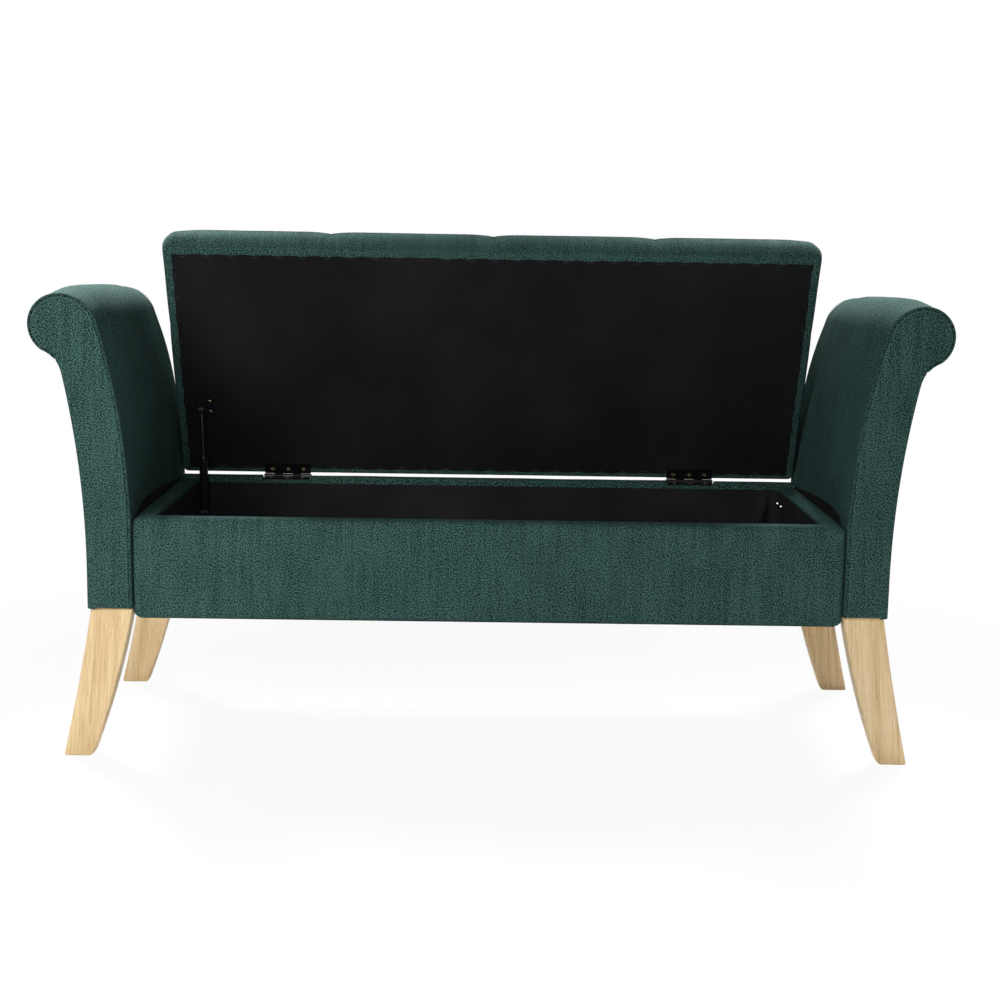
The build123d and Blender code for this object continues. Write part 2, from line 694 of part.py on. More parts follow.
def strut_lid_closed():
    return HINGE_Y - STRUT_LID_ALONG, LID_UNDER - STRUT_LID_BELOW


def strut_lid_open():
    y, z = strut_lid_closed()
    arm = Vector(0, y - HINGE_Y, z - HINGE_Z).rotate(HINGE_AXIS, LID_OPEN)
    return HINGE_Y + arm.Y, HINGE_Z + arm.Z


def strut_line():
    """The foot pivot, the strut's direction with the lid open, and its length."""
    foot_y, foot_z = strut_foot()
    lid_y, lid_z = strut_lid_open()
    length = hypot(lid_y - foot_y, lid_z - foot_z)
    return (foot_y, foot_z), (0, (lid_y - foot_y) / length, (lid_z - foot_z) / length), length


def along_strut(distance):
    foot, way, _ = strut_line()
    return (STRUT_X, foot[0] + way[1] * distance, foot[1] + way[2] * distance)


def strut_cylinder():
    way = strut_line()[1]
    tube = rod_along(along_strut(SOCKET_REACH), way, CYLINDER_R, CYLINDER_LENGTH)
    bore_start = along_strut(SOCKET_REACH + CYLINDER_CAP_T)
    return tube - bar_along(bore_start, way, CYLINDER_BORE_R, CYLINDER_LENGTH, BORE_SIDES)


def strut_gland():
    way = strut_line()[1]
    start = along_strut(SOCKET_REACH + CYLINDER_LENGTH - GLAND_T)
    gland = bar_along(start, way, CYLINDER_BORE_R, GLAND_T, BORE_SIDES)
    return gland - rod_along(start, way, ROD_R + ROD_FIT, GLAND_T)


def strut_rod_start():
    """The rod's inner end, with the piston just under the gland at full stretch."""
    return SOCKET_REACH + CYLINDER_LENGTH - GLAND_T - PISTON_T - ROD_FIT


def strut_rod():
    _, way, length = strut_line()
    start = strut_rod_start()
    return rod_along(along_strut(start), way, ROD_R, length - SOCKET_REACH - start)


def strut_piston():
    way = strut_line()[1]
    start = along_strut(strut_rod_start())
    disc = bar_along(start, way, PISTON_R, PISTON_T, BARREL_SIDES)
    return disc - rod_along(start, way, ROD_R, PISTON_T)


def strut_socket(distance, towards):
    """An end eye across the strut, with a shank towards the strut's middle."""
    way = strut_line()[1]
    x, y, z = along_strut(distance)
    eye = bar_x(x - SOCKET_W / 2, x + SOCKET_W / 2, y, z, SOCKET_R, BARREL_SIDES)
    direction = tuple(towards * part for part in way)
    return eye + bar_along((x, y, z), direction, SOCKET_SHANK_R, SOCKET_REACH, BORE_SIDES)


def strut_lower_socket():
    y, z = strut_foot()
    half = SOCKET_W / 2
    return strut_socket(0, 1) - bore_x(STRUT_X - half, STRUT_X + half, y, z, FOOT_PIN_R + PIN_FIT)


def strut_upper_socket():
    return strut_socket(strut_line()[2], -1)


def strut_lower_bracket():
    y, z = strut_foot()
    wall = -WALL_X
    half_w = BRACKET_W / 2
    half_l = FOOT_PLATE_L / 2
    plate = block(wall, wall + BRACKET_T, y - half_w, y + half_w, z - half_l, z + half_l)
    plate = chamfer(plate.edges().filter_by(Axis.X), BRACKET_CORNER)
    end = STRUT_X + SOCKET_W / 2 + OPEN_PIVOT_GAP
    pin = rod_x(wall + BRACKET_T, end, y, z, FOOT_PIN_R)
    shoulder = bar_x(wall + BRACKET_T, STRUT_X - SOCKET_W / 2 - OPEN_PIVOT_GAP, y, z, FOOT_PIN_HEAD_R)
    head = bar_x(end, end + FOOT_PIN_HEAD_T, y, z, FOOT_PIN_HEAD_R)
    bracket = plate + shoulder + pin + head
    for hole in foot_screw_shanks(BRACKET_SHANK_R + SHANK_FIT):
        bracket -= hole
    return bracket


def foot_screw_places():
    y, z = strut_foot()
    return [(y, z - FOOT_SCREW_PITCH / 2), (y, z + FOOT_SCREW_PITCH / 2)]


def foot_screw_shanks(radius):
    outer = -WALL_X + BRACKET_T
    return [bar_x(outer - BRACKET_SCREW_LENGTH, outer, y, z, radius) for y, z in foot_screw_places()]


def strut_lower_screws():
    outer = -WALL_X + BRACKET_T
    screws = []
    for shank, place in zip(foot_screw_shanks(BRACKET_SHANK_R), foot_screw_places()):
        head = bar_x(outer, outer + BRACKET_HEAD_T, place[0], place[1], BRACKET_SCREW_R)
        head = chamfer(head.faces().sort_by(Axis.X)[-1].edges(), BRACKET_HEAD_T / 2)
        screws.append(head + shank)
    return group(screws)


def lid_plate_x():
    """The near side of the lid bracket's tab, clear of the upper socket and the cylinder."""
    return STRUT_X + SOCKET_W / 2 + BRACKET_T + OPEN_PIVOT_GAP


def lid_screw_places():
    y = strut_lid_closed()[0]
    x = lid_plate_x() + BRACKET_W / 2
    return [(x, y - LID_SCREW_PITCH / 2), (x, y + LID_SCREW_PITCH / 2)]


def lid_screw_shanks(radius):
    z = LID_UNDER - BRACKET_T
    return [bar_along((x, y, z), (0, 0, 1), radius, BRACKET_SCREW_LENGTH) for x, y in lid_screw_places()]


def strut_upper_bracket():
    y, z = strut_lid_closed()
    x = lid_plate_x()
    half_l = LID_PLATE_L / 2
    plate = block(x, x + BRACKET_W, y - half_l, y + half_l, LID_UNDER - BRACKET_T, LID_UNDER)
    tab = block(x, x + BRACKET_T, y - LID_TAB_W / 2, y + LID_TAB_W / 2, z - LID_TAB_BELOW, LID_UNDER)
    stud = bar_x(STRUT_X + SOCKET_W / 2 + OPEN_PIVOT_GAP, x, y, z, STUD_R)
    bracket = plate + tab + stud
    for hole in lid_screw_shanks(BRACKET_SHANK_R + SHANK_FIT):
        bracket -= hole
    return bracket


def strut_upper_screws():
    z = LID_UNDER - BRACKET_T
    screws = []
    for shank, place in zip(lid_screw_shanks(BRACKET_SHANK_R), lid_screw_places()):
        head = bar_along((place[0], place[1], z), (0, 0, -1), BRACKET_SCREW_R, BRACKET_HEAD_T)
        head = chamfer(head.faces().sort_by(Axis.Z)[0].edges(), BRACKET_HEAD_T / 2)
        screws.append(head + shank)
    return screws


def less(shape, cutters):
    """A piece with every cutter taken out of it."""
    for cutter in cutters:
        shape = shape - cutter
    return shape


def bench():
    """Every piece of the bench by its name."""
    nodes = {}
    rail_screws = hinge_screws(RIM_Z + LEAF_T, False)
    lid_screws = hinge_screws(LID_UNDER - LEAF_T, True)
    foot_holes = foot_screw_shanks(BRACKET_SHANK_R + SHANK_FIT)
    lid_holes = lid_screw_shanks(BRACKET_SHANK_R + SHANK_FIT)
    right_holes = arm_bolt_holes(ARM_BOLT_R + SHANK_FIT)
    left_holes = [flip(hole) for hole in right_holes]

    front, back, left, right, floor = box_boards()
    front_cover, back_cover, left_cover, right_cover = box_covers(front, back, right)
    nodes["box_front_board"] = front
    nodes["box_back_board"] = less(back, rail_screws)
    nodes["box_left_board"] = less(left, left_holes + foot_holes)
    nodes["box_right_board"] = less(right, right_holes)
    nodes["box_bottom_board"] = floor
    nodes["bottom_battens"] = bottom_battens()
    nodes["front_panel_cover"] = front_cover
    nodes["back_rail_cover"] = less(back_cover, rail_screws)
    nodes["left_rim_cover"] = less(left_cover, left_holes)
    nodes["right_rim_cover"] = less(right_cover, right_holes)
    nodes["storage_lining"] = less(storage_lining(), left_holes + right_holes + foot_holes)
    nodes["bottom_dust_cover"] = bottom_dust_cover()

    for name, piece in right_arm().items():
        nodes["right_" + name] = piece
        nodes["left_" + name] = flip(piece)
    nodes["arm_bolts"] = arm_bolts()
    nodes["arm_tee_nuts"] = arm_tee_nuts()

    front_bolt, rear_bolt = leg_bolt_rows()
    front_leg = right_leg(FRONT_Y + LEG_INSET, front_bolt)
    rear_leg = right_leg(ARM_REAR - LEG_INSET - LEG_T, rear_bolt)
    nodes["front_right_leg"] = front_leg
    nodes["front_left_leg"] = flip(front_leg)
    nodes["rear_right_leg"] = rear_leg
    nodes["rear_left_leg"] = flip(rear_leg)
    nodes["leg_hanger_bolts"] = leg_hanger_bolts()
    nodes["leg_tee_nuts"] = leg_tee_nuts()

    rail_leaves = [less(leaf, rail_screws) for leaf in at_hinges(hinge_leaf(RIM_Z, 0))]
    lid_leaves = [less(leaf, lid_screws) for leaf in at_hinges(hinge_leaf(LID_UNDER - LEAF_T, 1))]
    nodes["left_hinge_rail_leaf"], nodes["right_hinge_rail_leaf"] = rail_leaves
    nodes["left_hinge_lid_leaf"], nodes["right_hinge_lid_leaf"] = [opened(leaf) for leaf in lid_leaves]
    nodes["hinge_pins"] = group(at_hinges(hinge_pin()))
    nodes["hinge_rail_screws"] = group(rail_screws)
    nodes["hinge_lid_screws"] = group([opened(screw) for screw in lid_screws])

    nodes["lid_board"] = opened(less(lid_board_blank(), lid_screws + lid_holes))
    nodes["lid_dust_cover"] = opened(less(lid_cloth_blank(), lid_screws + lid_holes))
    nodes["seat_cushion"] = opened(less(seat_cushion(), lid_screws))
    nodes["tuft_buttons"] = group([opened(button) for button in tuft_buttons()])

    nodes["strut_cylinder"] = strut_cylinder()
    nodes["strut_gland"] = strut_gland()
    nodes["strut_rod"] = strut_rod()
    nodes["strut_piston"] = strut_piston()
    nodes["strut_lower_socket"] = strut_lower_socket()
    nodes["strut_upper_socket"] = strut_upper_socket()
    nodes["strut_lower_bracket"] = strut_lower_bracket()
    nodes["strut_lower_screws"] = strut_lower_screws()
    nodes["strut_upper_bracket"] = opened(strut_upper_bracket())
    nodes["strut_upper_screws"] = group([opened(screw) for screw in strut_upper_screws()])
    return nodes


os.makedirs("parts", exist_ok=True)
for node, shape in bench().items():
    export_step(shape, f"parts/{node}.step")
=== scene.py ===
import json
from math import asin, atan2, ceil, cos, degrees, exp, pi, radians, sin, sqrt

import bpy
import numpy as np
from mathutils import Matrix, Vector, noise
from mathutils.geometry import delaunay_2d_cdt


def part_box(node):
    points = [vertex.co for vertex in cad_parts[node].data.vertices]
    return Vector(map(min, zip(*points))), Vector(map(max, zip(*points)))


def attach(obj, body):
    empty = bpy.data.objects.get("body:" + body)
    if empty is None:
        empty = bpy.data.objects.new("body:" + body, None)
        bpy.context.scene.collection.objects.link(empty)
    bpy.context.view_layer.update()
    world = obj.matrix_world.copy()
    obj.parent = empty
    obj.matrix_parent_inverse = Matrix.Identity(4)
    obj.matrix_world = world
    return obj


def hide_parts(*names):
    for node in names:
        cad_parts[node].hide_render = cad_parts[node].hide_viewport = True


# Upholstered storage bench with scrolled arms, its lid held open. Metres, in the frame's own axes.

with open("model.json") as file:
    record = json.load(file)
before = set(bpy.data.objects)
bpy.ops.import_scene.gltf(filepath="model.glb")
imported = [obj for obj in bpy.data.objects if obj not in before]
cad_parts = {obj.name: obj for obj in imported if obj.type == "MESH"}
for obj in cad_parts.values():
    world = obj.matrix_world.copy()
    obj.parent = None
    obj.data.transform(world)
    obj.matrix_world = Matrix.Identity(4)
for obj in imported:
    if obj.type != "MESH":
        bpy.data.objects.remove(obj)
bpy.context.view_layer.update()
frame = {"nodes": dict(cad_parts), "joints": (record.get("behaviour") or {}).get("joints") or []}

# Arm outline, seen from the front
ARM_FOOT_T = 0.064
FLARE_DROP = 0.024
TOP_R = 0.055
SCROLL_R = 0.044
NOTCH_ANGLE = -85.0
OUTER_FLARE_RISE = 0.058
NOTCH_EASE = 0.024
OUTLINE_STEP = 0.004
INNER_POINTS = 24
OUTER_POINTS = 12
FOOT_POINTS = 14

# Arm roll: its lip beside the facings, its crown and its tuck under the scroll
LIP_R = 0.0026
LIP_SEAM = ((0.0012, 1.0), (0.0005, 0.35))
ROLL_STEP = 0.011
ROLL_ROWS = 150
STRIP_ROWS = 24
ROLL_WAVE = (0.0005, 0.09)
ROLL_CROWN = 0.0070
CROWN_RUN = 0.110
CROWN_LIFT = 0.09
CROWN_FADE = 0.07
REAR_DIP = 0.0070
TUCK_RUN = 0.004
TUCK_STEPS = (0.0, -0.002, -0.004)

# Arm facings and outer cover
GROOVE_DEPTH = 0.0022
GROOVE_RUN = 0.0024
SEAM_INSET = 0.0034
SEAM_FADE = 0.012
FOOT_FADE = 0.010
FOLD_R = 0.003
FACE_PILLOW = 0.0010
PILLOW_RUN = 0.030
FACE_GRID = 0.009
FACE_RINGS = np.array((0.0005, 0.0012, 0.0021, 0.0034, 0.0055, 0.0090))
RING_CLEAR = 0.85
GRID_CLEAR = 0.0125
FACE_WAVE = (0.0004, 0.05)
FACE_WAVE_RUN = 0.02
OUTER_ROWS = 90
OUTER_LAP = 0.003
LAP_ROWS = 3
OUTER_EDGE = ((0.0012, 0.6), (0.0003, 0.9), (0.0, 1.3))
OUTER_HEM = ((0.0, 0.0), (0.0008, 0.0009), (0.0025, 0.0013), (0.010, 0.0013))

# Bare patch on the arm, its arched hem and the stitches
GAP_DROP = 0.005
GAP_RISE = 0.0175
GAP_START = 0.009
GAP_SKEW = 0.54
GAP_ROUND = 0.8
HEM_TURN = 0.012
HEM_STEPS = (0.0, -0.0008, -0.0010, -0.0010)
HEM_LAP = 0.0036
PATCH_ROWS = 16
PATCH_SETBACK = 0.0007
PATCH_CLEAR = 0.0002
STITCH_PITCH = 0.0046
STITCH_LENGTH = 0.0030
STITCH_R = 0.0005
STITCH_INSET = 0.0062
STITCH_RISE = 0.00025
STITCH_START = 0.012
STITCH_STOP = 0.010

# Box upholstery
CORNER_R = 0.0125
FACE_EDGE_R = 0.009
SIDE_EDGE_R = 0.009
INNER_EDGE_R = 0.004
LIP_DROP = 0.010
FACE_BULGE = 0.0018
PANEL_WAVE = (0.0004, 0.06)
BOTTOM_TUCK = 0.020
BOTTOM_WAVE = (0.0008, 0.07)
BOTTOM_WAVE_SHARE = 0.2
REAR_CORNERS = {"left": 0.012, "right": 0.018}
RIM_LAP = 0.001
RIM_DRAW = 0.012
RIM_END_R = 0.0012
RIM_STOP_R = 0.002
BEND_STOPS = 10
END_GAPS = (0.0, 0.0004, 0.0012, 0.0025, 0.0042, 0.0062, 0.0085)
COVER_STEP = 0.012
COVER_T = 0.0015
RAIL_EDGE_R = 0.003
RAIL_FOOT_R = 0.004
RAIL_END_R = 0.006
RAIL_RISE = 0.0052
RAIL_WAVE = (0.10, 0.08)
HINGE_HALF = 0.0385
RECESS_RUN = 0.0025

# Linings
LINING_T = 0.002
LINING_DROP = 0.0055
WELL_CORNER_R = 0.018
WELL_ARC_STEP = 0.003
WELL_STEP = 0.004
TUB_EDGE = ((0.0, 0.0002), (0.001, 0.0))
TUB_FOOT = ((0.0045, -0.0015), (0.0012, -0.0048), (0.0, -0.012))
TUB_ROWS = 9
TUB_LEAD = 0.004
TUB_FLOOR_INSET = 0.010
TUB_FLOOR_STEP = 0.03
TUB_CLEAR = 0.0006
WALL_WAVE = (0.0006, 0.06)
WALL_STRETCH = 0.4
FLOOR_WAVE = (0.0004, 0.08)
FOLD_PLACE = 0.018
FOLD_DRIFT = 0.22
FOLD_RISE = 0.011
FOLD_W = 0.0065
FOLD_START = 0.030
FOLD_WALL = 0.004
CLOTH_STEP = 0.014
BOTTOM_SAG = (0.00048, 0.12)
BOTTOM_SAG_RUN = 0.05
LID_SLACK = (0.00032, 0.10)
LID_SLACK_RUN = 0.04
LID_CLOTH_GAP = 0.0002
SCALLOP = 0.0016
SCALLOP_NOISE = (0.6, 0.03)
STAPLE_PITCH = 0.037
STAPLE_LENGTH = 0.0095
STAPLE_R = 0.0004
STAPLE_INSET = 0.0045
STAPLE_TILT = (0.0010, 0.011)

# Seat
LID_OPEN = radians(67.5)
EDGE_H = 0.062
CREST_H = 0.084
VALLEY_H = 0.072
CREST_ROUND = 0.75
CREST_BLEND = 0.006
TOP_EDGE_R = 0.010
UNDER_EDGE_R = 0.0025
PLEAT_DEPTH = 0.005
PLEAT_W = 0.0045
PLEAT_EDGE_SHARE = 0.55
PLEAT_RUN = 0.05
SIDE_PLEAT_DEPTH = 0.0014
SIDE_PLEAT_FADE = 0.75
DIMPLE_DEPTH = 0.003
DIMPLE_R = 0.022
BOARD_PLAN_R = 0.008
SEAT_PLAN_R = 0.016
SEAT_LEAN = 0.0042
LEAN_CURVE = 1.5
SEAT_PUFF = 0.0022
END_PUFF = 0.002
PUFF_RUN = 0.045
PUFF_GROW = 0.020
SIDE_BULGE = 0.0040
CORNER_SAG = 0.009
CORNER_SAG_R = 0.030
SEAT_WAVE = (0.0006, 0.06)
TUFT_COLUMNS = 3
TUFT_ROWS = 2
LID_STEP = 0.011
EDGE_GAPS = (0.0, 0.0008, 0.0022, 0.0042, 0.0068, 0.0100, 0.0140, 0.0190)
PLEAT_GAPS = (0.0, 0.0014, 0.0030, 0.0052, 0.0085)
BOXING = (0.0, 0.06, 0.14, 0.26, 0.40, 0.55, 0.70, 0.84, 1.0)
UNDER_WRAPS = ((0.0008, 0.35), (0.0022, 0.10), (0.0042, 0.0), (0.010, 0.0), (0.022, 0.0))
UNDER_GAP = 0.0006
BUTTON_R = 0.012
BUTTON_H = 0.008
BUTTON_SINK = 0.004
BUTTON_SIDES = 32
BUTTON_PROFILE = (
    (0.86, -0.10), (1.0, 0.12), (1.0, 0.30), (0.94, 0.48),
    (0.80, 0.70), (0.58, 0.87), (0.30, 0.97), (0.0, 1.0),
)

# Hardware and boards
METAL_EASE = 0.0003
BOARD_EASE = 0.0025
EASED_ANGLE = radians(40)
DOME_R = 0.003394
DOME_RISE = 0.0036
HEAD_R = 0.004243
HEAD_RISE = 0.0011
DOME_SINK = 0.0004
DOME_SIDES = 20
DOME_TURNS = np.radians(np.linspace(0, 80, 7))

# Legs
LEG_TOP_W = 0.060
LEG_FOOT_W = 0.042
LEG_SPLAY = 0.063
LEG_INNER_BOW = 0.0055
LEG_OUTER_BOW = 0.002
LEG_EDGE_R = 0.0028
LEG_ARC_STEP = 0.001
LEG_FLATS = (0.2, 0.4, 0.6, 0.8)
FOOT_RADII = {"front": 0.006, "rear": 0.003}
FOOT_STATIONS = (0.0, 0.0004, 0.0012, 0.0024, 0.0040, 0.0060)
LEG_START = 0.012
LEG_STATIONS = 30
GRAIN_FOLLOW = 0.3
GRAIN_SHIFT = (0.37, 0.53)

# Weave
WARP = 0.0018
WEFT = 0.0022
SLUB = 0.007
YARN_DRIFT = 0.012

# Stage and camera
FLOOR_HALF = 14.0
AMBIENT = 0.004
CAMERA_TURNS = np.radians((0.8787, 9.25, 0.9548))
CAMERA_PLACE = (-0.0221, -2.5214, 0.760)
CAMERA_SENSOR = 36.0
CAMERA_LENS = 58.70

CLOTH_UV = "cloth"
JOIN_GAP = 1e-5
SAME = 1e-6
ENDS = (("left", -1), ("right", 1))


# Places read from the frame

def low(node):
    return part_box(node)[0]


def high(node):
    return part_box(node)[1]


FRONT_Y = low("right_arm_front_facing").y
REAR_Y = high("right_arm_rear_facing").y
ARM_INNER = low("right_arm_front_facing").x
BENCH_HALF = high("right_arm_front_facing").x
ARM_FOOT_Z = low("right_arm_front_facing").z
ARM_TOP = high("right_arm_front_facing").z
GAP_FRONT_Y = low("right_arm_gap_lining").y + GAP_START
GAP_REAR_Y = high("right_arm_gap_lining").y
BOX_HALF = high("front_panel_cover").x
BOX_FRONT = low("front_panel_cover").y
BOX_REAR = high("back_rail_cover").y
BOX_BOTTOM = low("front_panel_cover").z
RIM_Z = high("front_panel_cover").z
WELL_FRONT = high("front_panel_cover").y
WELL_REAR = low("back_rail_cover").y
WELL_SIDE = low("right_rim_cover").x
WELL_FLOOR = high("box_bottom_board").z + LINING_T
HINGE = Vector(frame["joints"][0]["pos_m"])
OPENING = Matrix.Translation(HINGE) @ Matrix.Rotation(-LID_OPEN, 4, "X") @ Matrix.Translation(-HINGE)


def closed_box(node):
    """Lowest and highest corner of a lid node with the lid shut."""
    shut = OPENING.inverted()
    points = np.array([shut @ vertex.co for vertex in frame["nodes"][node].data.vertices])
    return Vector(points.min(0)), Vector(points.max(0))


LID_LOW, LID_HIGH = closed_box("seat_cushion")
LID_UNDER = LID_LOW.z
LID_HALF_X = (LID_HIGH.x - LID_LOW.x) / 2
LID_HALF_Y = (LID_HIGH.y - LID_LOW.y) / 2
LID_MID_Y = (LID_HIGH.y + LID_LOW.y) / 2


# Lines and numbers

def clamp(value):
    return min(1.0, max(0.0, value))


def smooth_step(value):
    value = clamp(value)
    return value * value * (3 - 2 * value)


def bell(value):
    return exp(-(value**2))


def ripple(wave, x, y, z):
    """Smooth noise from a pair: how far it goes each way, and over about which size it changes."""
    reach, size = wave
    return reach * noise.noise(Vector((x, y, z)) / size)


def corner_drop(distance, radius):
    """How far a rounded edge falls away at a distance from the end of a face."""
    if distance >= radius:
        return 0.0
    return radius - sqrt(max(0.0, radius**2 - (radius - distance) ** 2))


def spaced(marks, step):
    """The marks in order, with even stops between them no further apart than step."""
    line = divided(np.sort(marks)[:, None], step)
    return line[:, 0]


def divided(line, step):
    """A line of points with long runs cut into shorter ones."""
    points = [line[0]]
    for start, end in zip(line, line[1:]):
        count = max(1, ceil(np.linalg.norm(end - start) / step - SAME))
        points.extend(start + share * (end - start) for share in np.linspace(0, 1, count + 1)[1:])
    return np.array(points)


def arc_points(centre, radius, start, end, step=OUTLINE_STEP):
    """Points along an arc, angles in degrees."""
    count = max(2, ceil(abs(radians(end - start)) * radius / step))
    angles = np.radians(np.linspace(start, end, count + 1))
    return np.column_stack([centre[0] + radius * np.cos(angles), centre[1] + radius * np.sin(angles)])


def run_lengths(points):
    """Distance along a line of points."""
    steps = np.linalg.norm(np.diff(points, axis=0), axis=1)
    return np.concatenate([[0.0], np.cumsum(steps)])


def without_doubles(points):
    kept = [points[0]]
    for point in points[1:]:
        if np.linalg.norm(point - kept[-1]) > SAME:
            kept.append(point)
    return np.array(kept)


def loop_normals(loop):
    """Unit normals on the right of a closed line."""
    along = np.roll(loop, -1, axis=0) - np.roll(loop, 1, axis=0)
    normals = np.column_stack([along[:, 1], -along[:, 0]])
    return normals / np.linalg.norm(normals, axis=1)[:, None]


class Path:
    """A line in two axes that can be read by its length, with the side on its left as its outside."""

    def __init__(self, points):
        self.points = np.asarray(points, float)
        self.lengths = run_lengths(self.points)
        self.total = self.lengths[-1]
        along = np.gradient(self.points, self.lengths, axis=0)
        along /= np.linalg.norm(along, axis=1)[:, None]
        self.normals = np.column_stack([-along[:, 1], along[:, 0]])

    def at(self, length, offset=0.0):
        place = [np.interp(length, self.lengths, self.points[:, axis]) for axis in (0, 1)]
        normal = [np.interp(length, self.lengths, self.normals[:, axis]) for axis in (0, 1)]
        return place[0] + offset * normal[0], place[1] + offset * normal[1]


# Meshes: a patch is its points, their places on the cloth map and its faces

def grid_faces(rows, columns, closed=False, start=0):
    """Quads of a grid stored row by row. A closed grid joins its last column to its first."""
    faces = []
    for row in range(rows - 1):
        for column in range(columns if closed else columns - 1):
            a = start + row * columns + column
            b = start + row * columns + (column + 1) % columns
            faces.append((a, b, b + columns, a + columns))
    return faces


def grid_patch(rows, columns, place, closed=False):
    """A patch over rows and columns, from a function that gives a point and its place on the map."""
    made = [place(row, column) for row in rows for column in columns]
    faces = grid_faces(len(rows), len(columns), closed)
    return [point for point, _ in made], [uv for _, uv in made], faces


def capped(patch, count, turned):
    """A tube's patch with its first and last row filled."""
    points, uv, faces = patch
    last = range(len(points) - count, len(points))
    return points, uv, [*faces, tuple(range(count)), tuple(reversed(last) if turned else last)]


def joined(patches):
    """Several patches as one, with their face numbers moved along."""
    points, uvs, faces = [], [], []
    for patch_points, patch_uv, patch_faces in patches:
        start = len(points)
        points.extend(patch_points)
        uvs.extend(patch_uv)
        faces.extend(tuple(start + index for index in face) for face in patch_faces)
    return points, uvs, faces


def round_head(middle, along, profile, sides, plane):
    """A turned head from (reach, rise) rings, the last of them its tip, mapped on two of the axes."""
    across = along.orthogonal().normalized()
    third = along.cross(across)
    angles = np.linspace(0, 2 * pi, sides, endpoint=False)
    points = []
    for reach, rise in profile[:-1]:
        centre = middle + along * rise
        points.extend(centre + (across * cos(a) + third * sin(a)) * reach for a in angles)
    points.append(middle + along * profile[-1][1])
    rings = len(profile) - 1
    tip = rings * sides
    faces = grid_faces(rings, sides, True)
    faces += [(tip - sides + index, tip - sides + (index + 1) % sides, tip) for index in range(sides)]
    return points, [[point[axis] for axis in plane] for point in points], faces


def new_piece(name, patch, material, outward=None, smooth=True):
    """A mesh object with a metric cloth map and normals facing outward."""
    points, uv, faces = patch
    mesh = bpy.data.meshes.new(name)
    mesh.from_pydata([tuple(point) for point in points], [], faces)
    if uv is not None:
        layer = mesh.uv_layers.new(name=CLOTH_UV)
        corner = np.zeros(len(mesh.loops), int)
        mesh.loops.foreach_get("vertex_index", corner)
        layer.data.foreach_set("uv", np.asarray(uv, float)[corner].ravel())
    mesh.materials.append(material)
    if outward is not None:
        facing = sum((face.normal * face.area for face in mesh.polygons), Vector())
        if facing.dot(Vector(outward)) < 0:
            mesh.flip_normals()
    if smooth:
        mesh.shade_smooth()
    piece = bpy.data.objects.new(name, mesh)
    bpy.context.collection.objects.link(piece)
    return piece


def capsules(name, segments, radius, material, sides=6):
    """Short round-ended rods, one for each pair of end points, as one object."""
    points = []
    faces = []
    angles = np.linspace(0, 2 * pi, sides, endpoint=False)
    for start, end in segments:
        start = Vector(start)
        end = Vector(end)
        along = (end - start).normalized()
        side = along.orthogonal().normalized()
        up = along.cross(side)
        base = len(points)
        for place, shift, share in ((start, 0, 0.6), (start, 0.5, 1), (end, -0.5, 1), (end, 0, 0.6)):
            middle = place + along * shift * radius
            points.extend(middle + (side * cos(a) + up * sin(a)) * radius * share for a in angles)
        faces.extend(grid_faces(4, sides, True, base))
        faces.append(tuple(base + index for index in reversed(range(sides))))
        faces.append(tuple(base + 3 * sides + index for index in range(sides)))
    return new_piece(name, (points, None, faces), material)


def dress(piece, body, slot, *nodes):
    """Rides a piece on a body and hides its nodes; slot is not used. Lid pieces are turned open."""
    if body == "lid":
        piece.data.transform(OPENING)
        piece.data.update()
    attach(piece, body)
    if nodes:
        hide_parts(*nodes)


def cover(name, patch, outward, node, body="frame", sewn=False, thick=False):
    """A padded cover in the green weave, with shared seams joined or a cloth's thickness inside it."""
    piece = new_piece(name, patch, green, outward)
    if sewn:
        piece.modifiers.new("joined patches", "WELD").merge_threshold = JOIN_GAP
    if thick:
        shell = piece.modifiers.new("cloth thickness", "SOLIDIFY")
        shell.thickness = COVER_T
        shell.offset = -1.0
    dress(piece, body, "green_weave", node)


def lining(name, patch, material, outward, node, flat, base, body="frame", **extra):
    """A black cloth in the shape its patch gives; flat, base and extra are not used."""
    piece = new_piece(name, patch, material, outward)
    dress(piece, body, "black_cloth", node)


# Materials

def shader(name):
    material = bpy.data.materials.new(name)
    material.use_nodes = True
    tree = material.node_tree
    return material, tree, tree.nodes["Principled BSDF"]


def feed(tree, node, inputs):
    """Fills a node's inputs, from values or from other nodes' sockets."""
    for key, value in inputs.items():
        if isinstance(value, bpy.types.NodeSocket):
            tree.links.new(value, node.inputs[key])
        else:
            node.inputs[key].default_value = value


def add(tree, kind, inputs=None, **settings):
    node = tree.nodes.new(kind)
    for key, value in settings.items():
        setattr(node, key, value)
    feed(tree, node, inputs or {})
    return node


def calc(tree, operation, first, second=0.0, third=0.0):
    return add(tree, "ShaderNodeMath", {0: first, 1: second, 2: third}, operation=operation).outputs[0]


def weighted(tree, parts, base=0.0):
    """The sum of sockets times their weights, on top of a base."""
    for socket, weight in parts:
        base = calc(tree, "MULTIPLY_ADD", socket, weight, base)
    return base


def mixed(tree, share, first, second):
    return add(tree, "ShaderNodeMix", {"Factor": share, "A": first, "B": second}).outputs[0]


def ramp(tree, factor, stops):
    """A colour ramp from (position, linear colour) stops."""
    node = add(tree, "ShaderNodeValToRGB", {"Fac": factor})
    elements = node.color_ramp.elements
    while len(elements) < len(stops):
        elements.new(0.5)
    for element, (position, colour) in zip(elements, stops):
        element.position = position
        element.color = (*colour, 1.0)
    return node.outputs["Color"]


def mask(tree, factor, start, end):
    return ramp(tree, factor, [(start, (0, 0, 0)), (end, (1, 1, 1))])


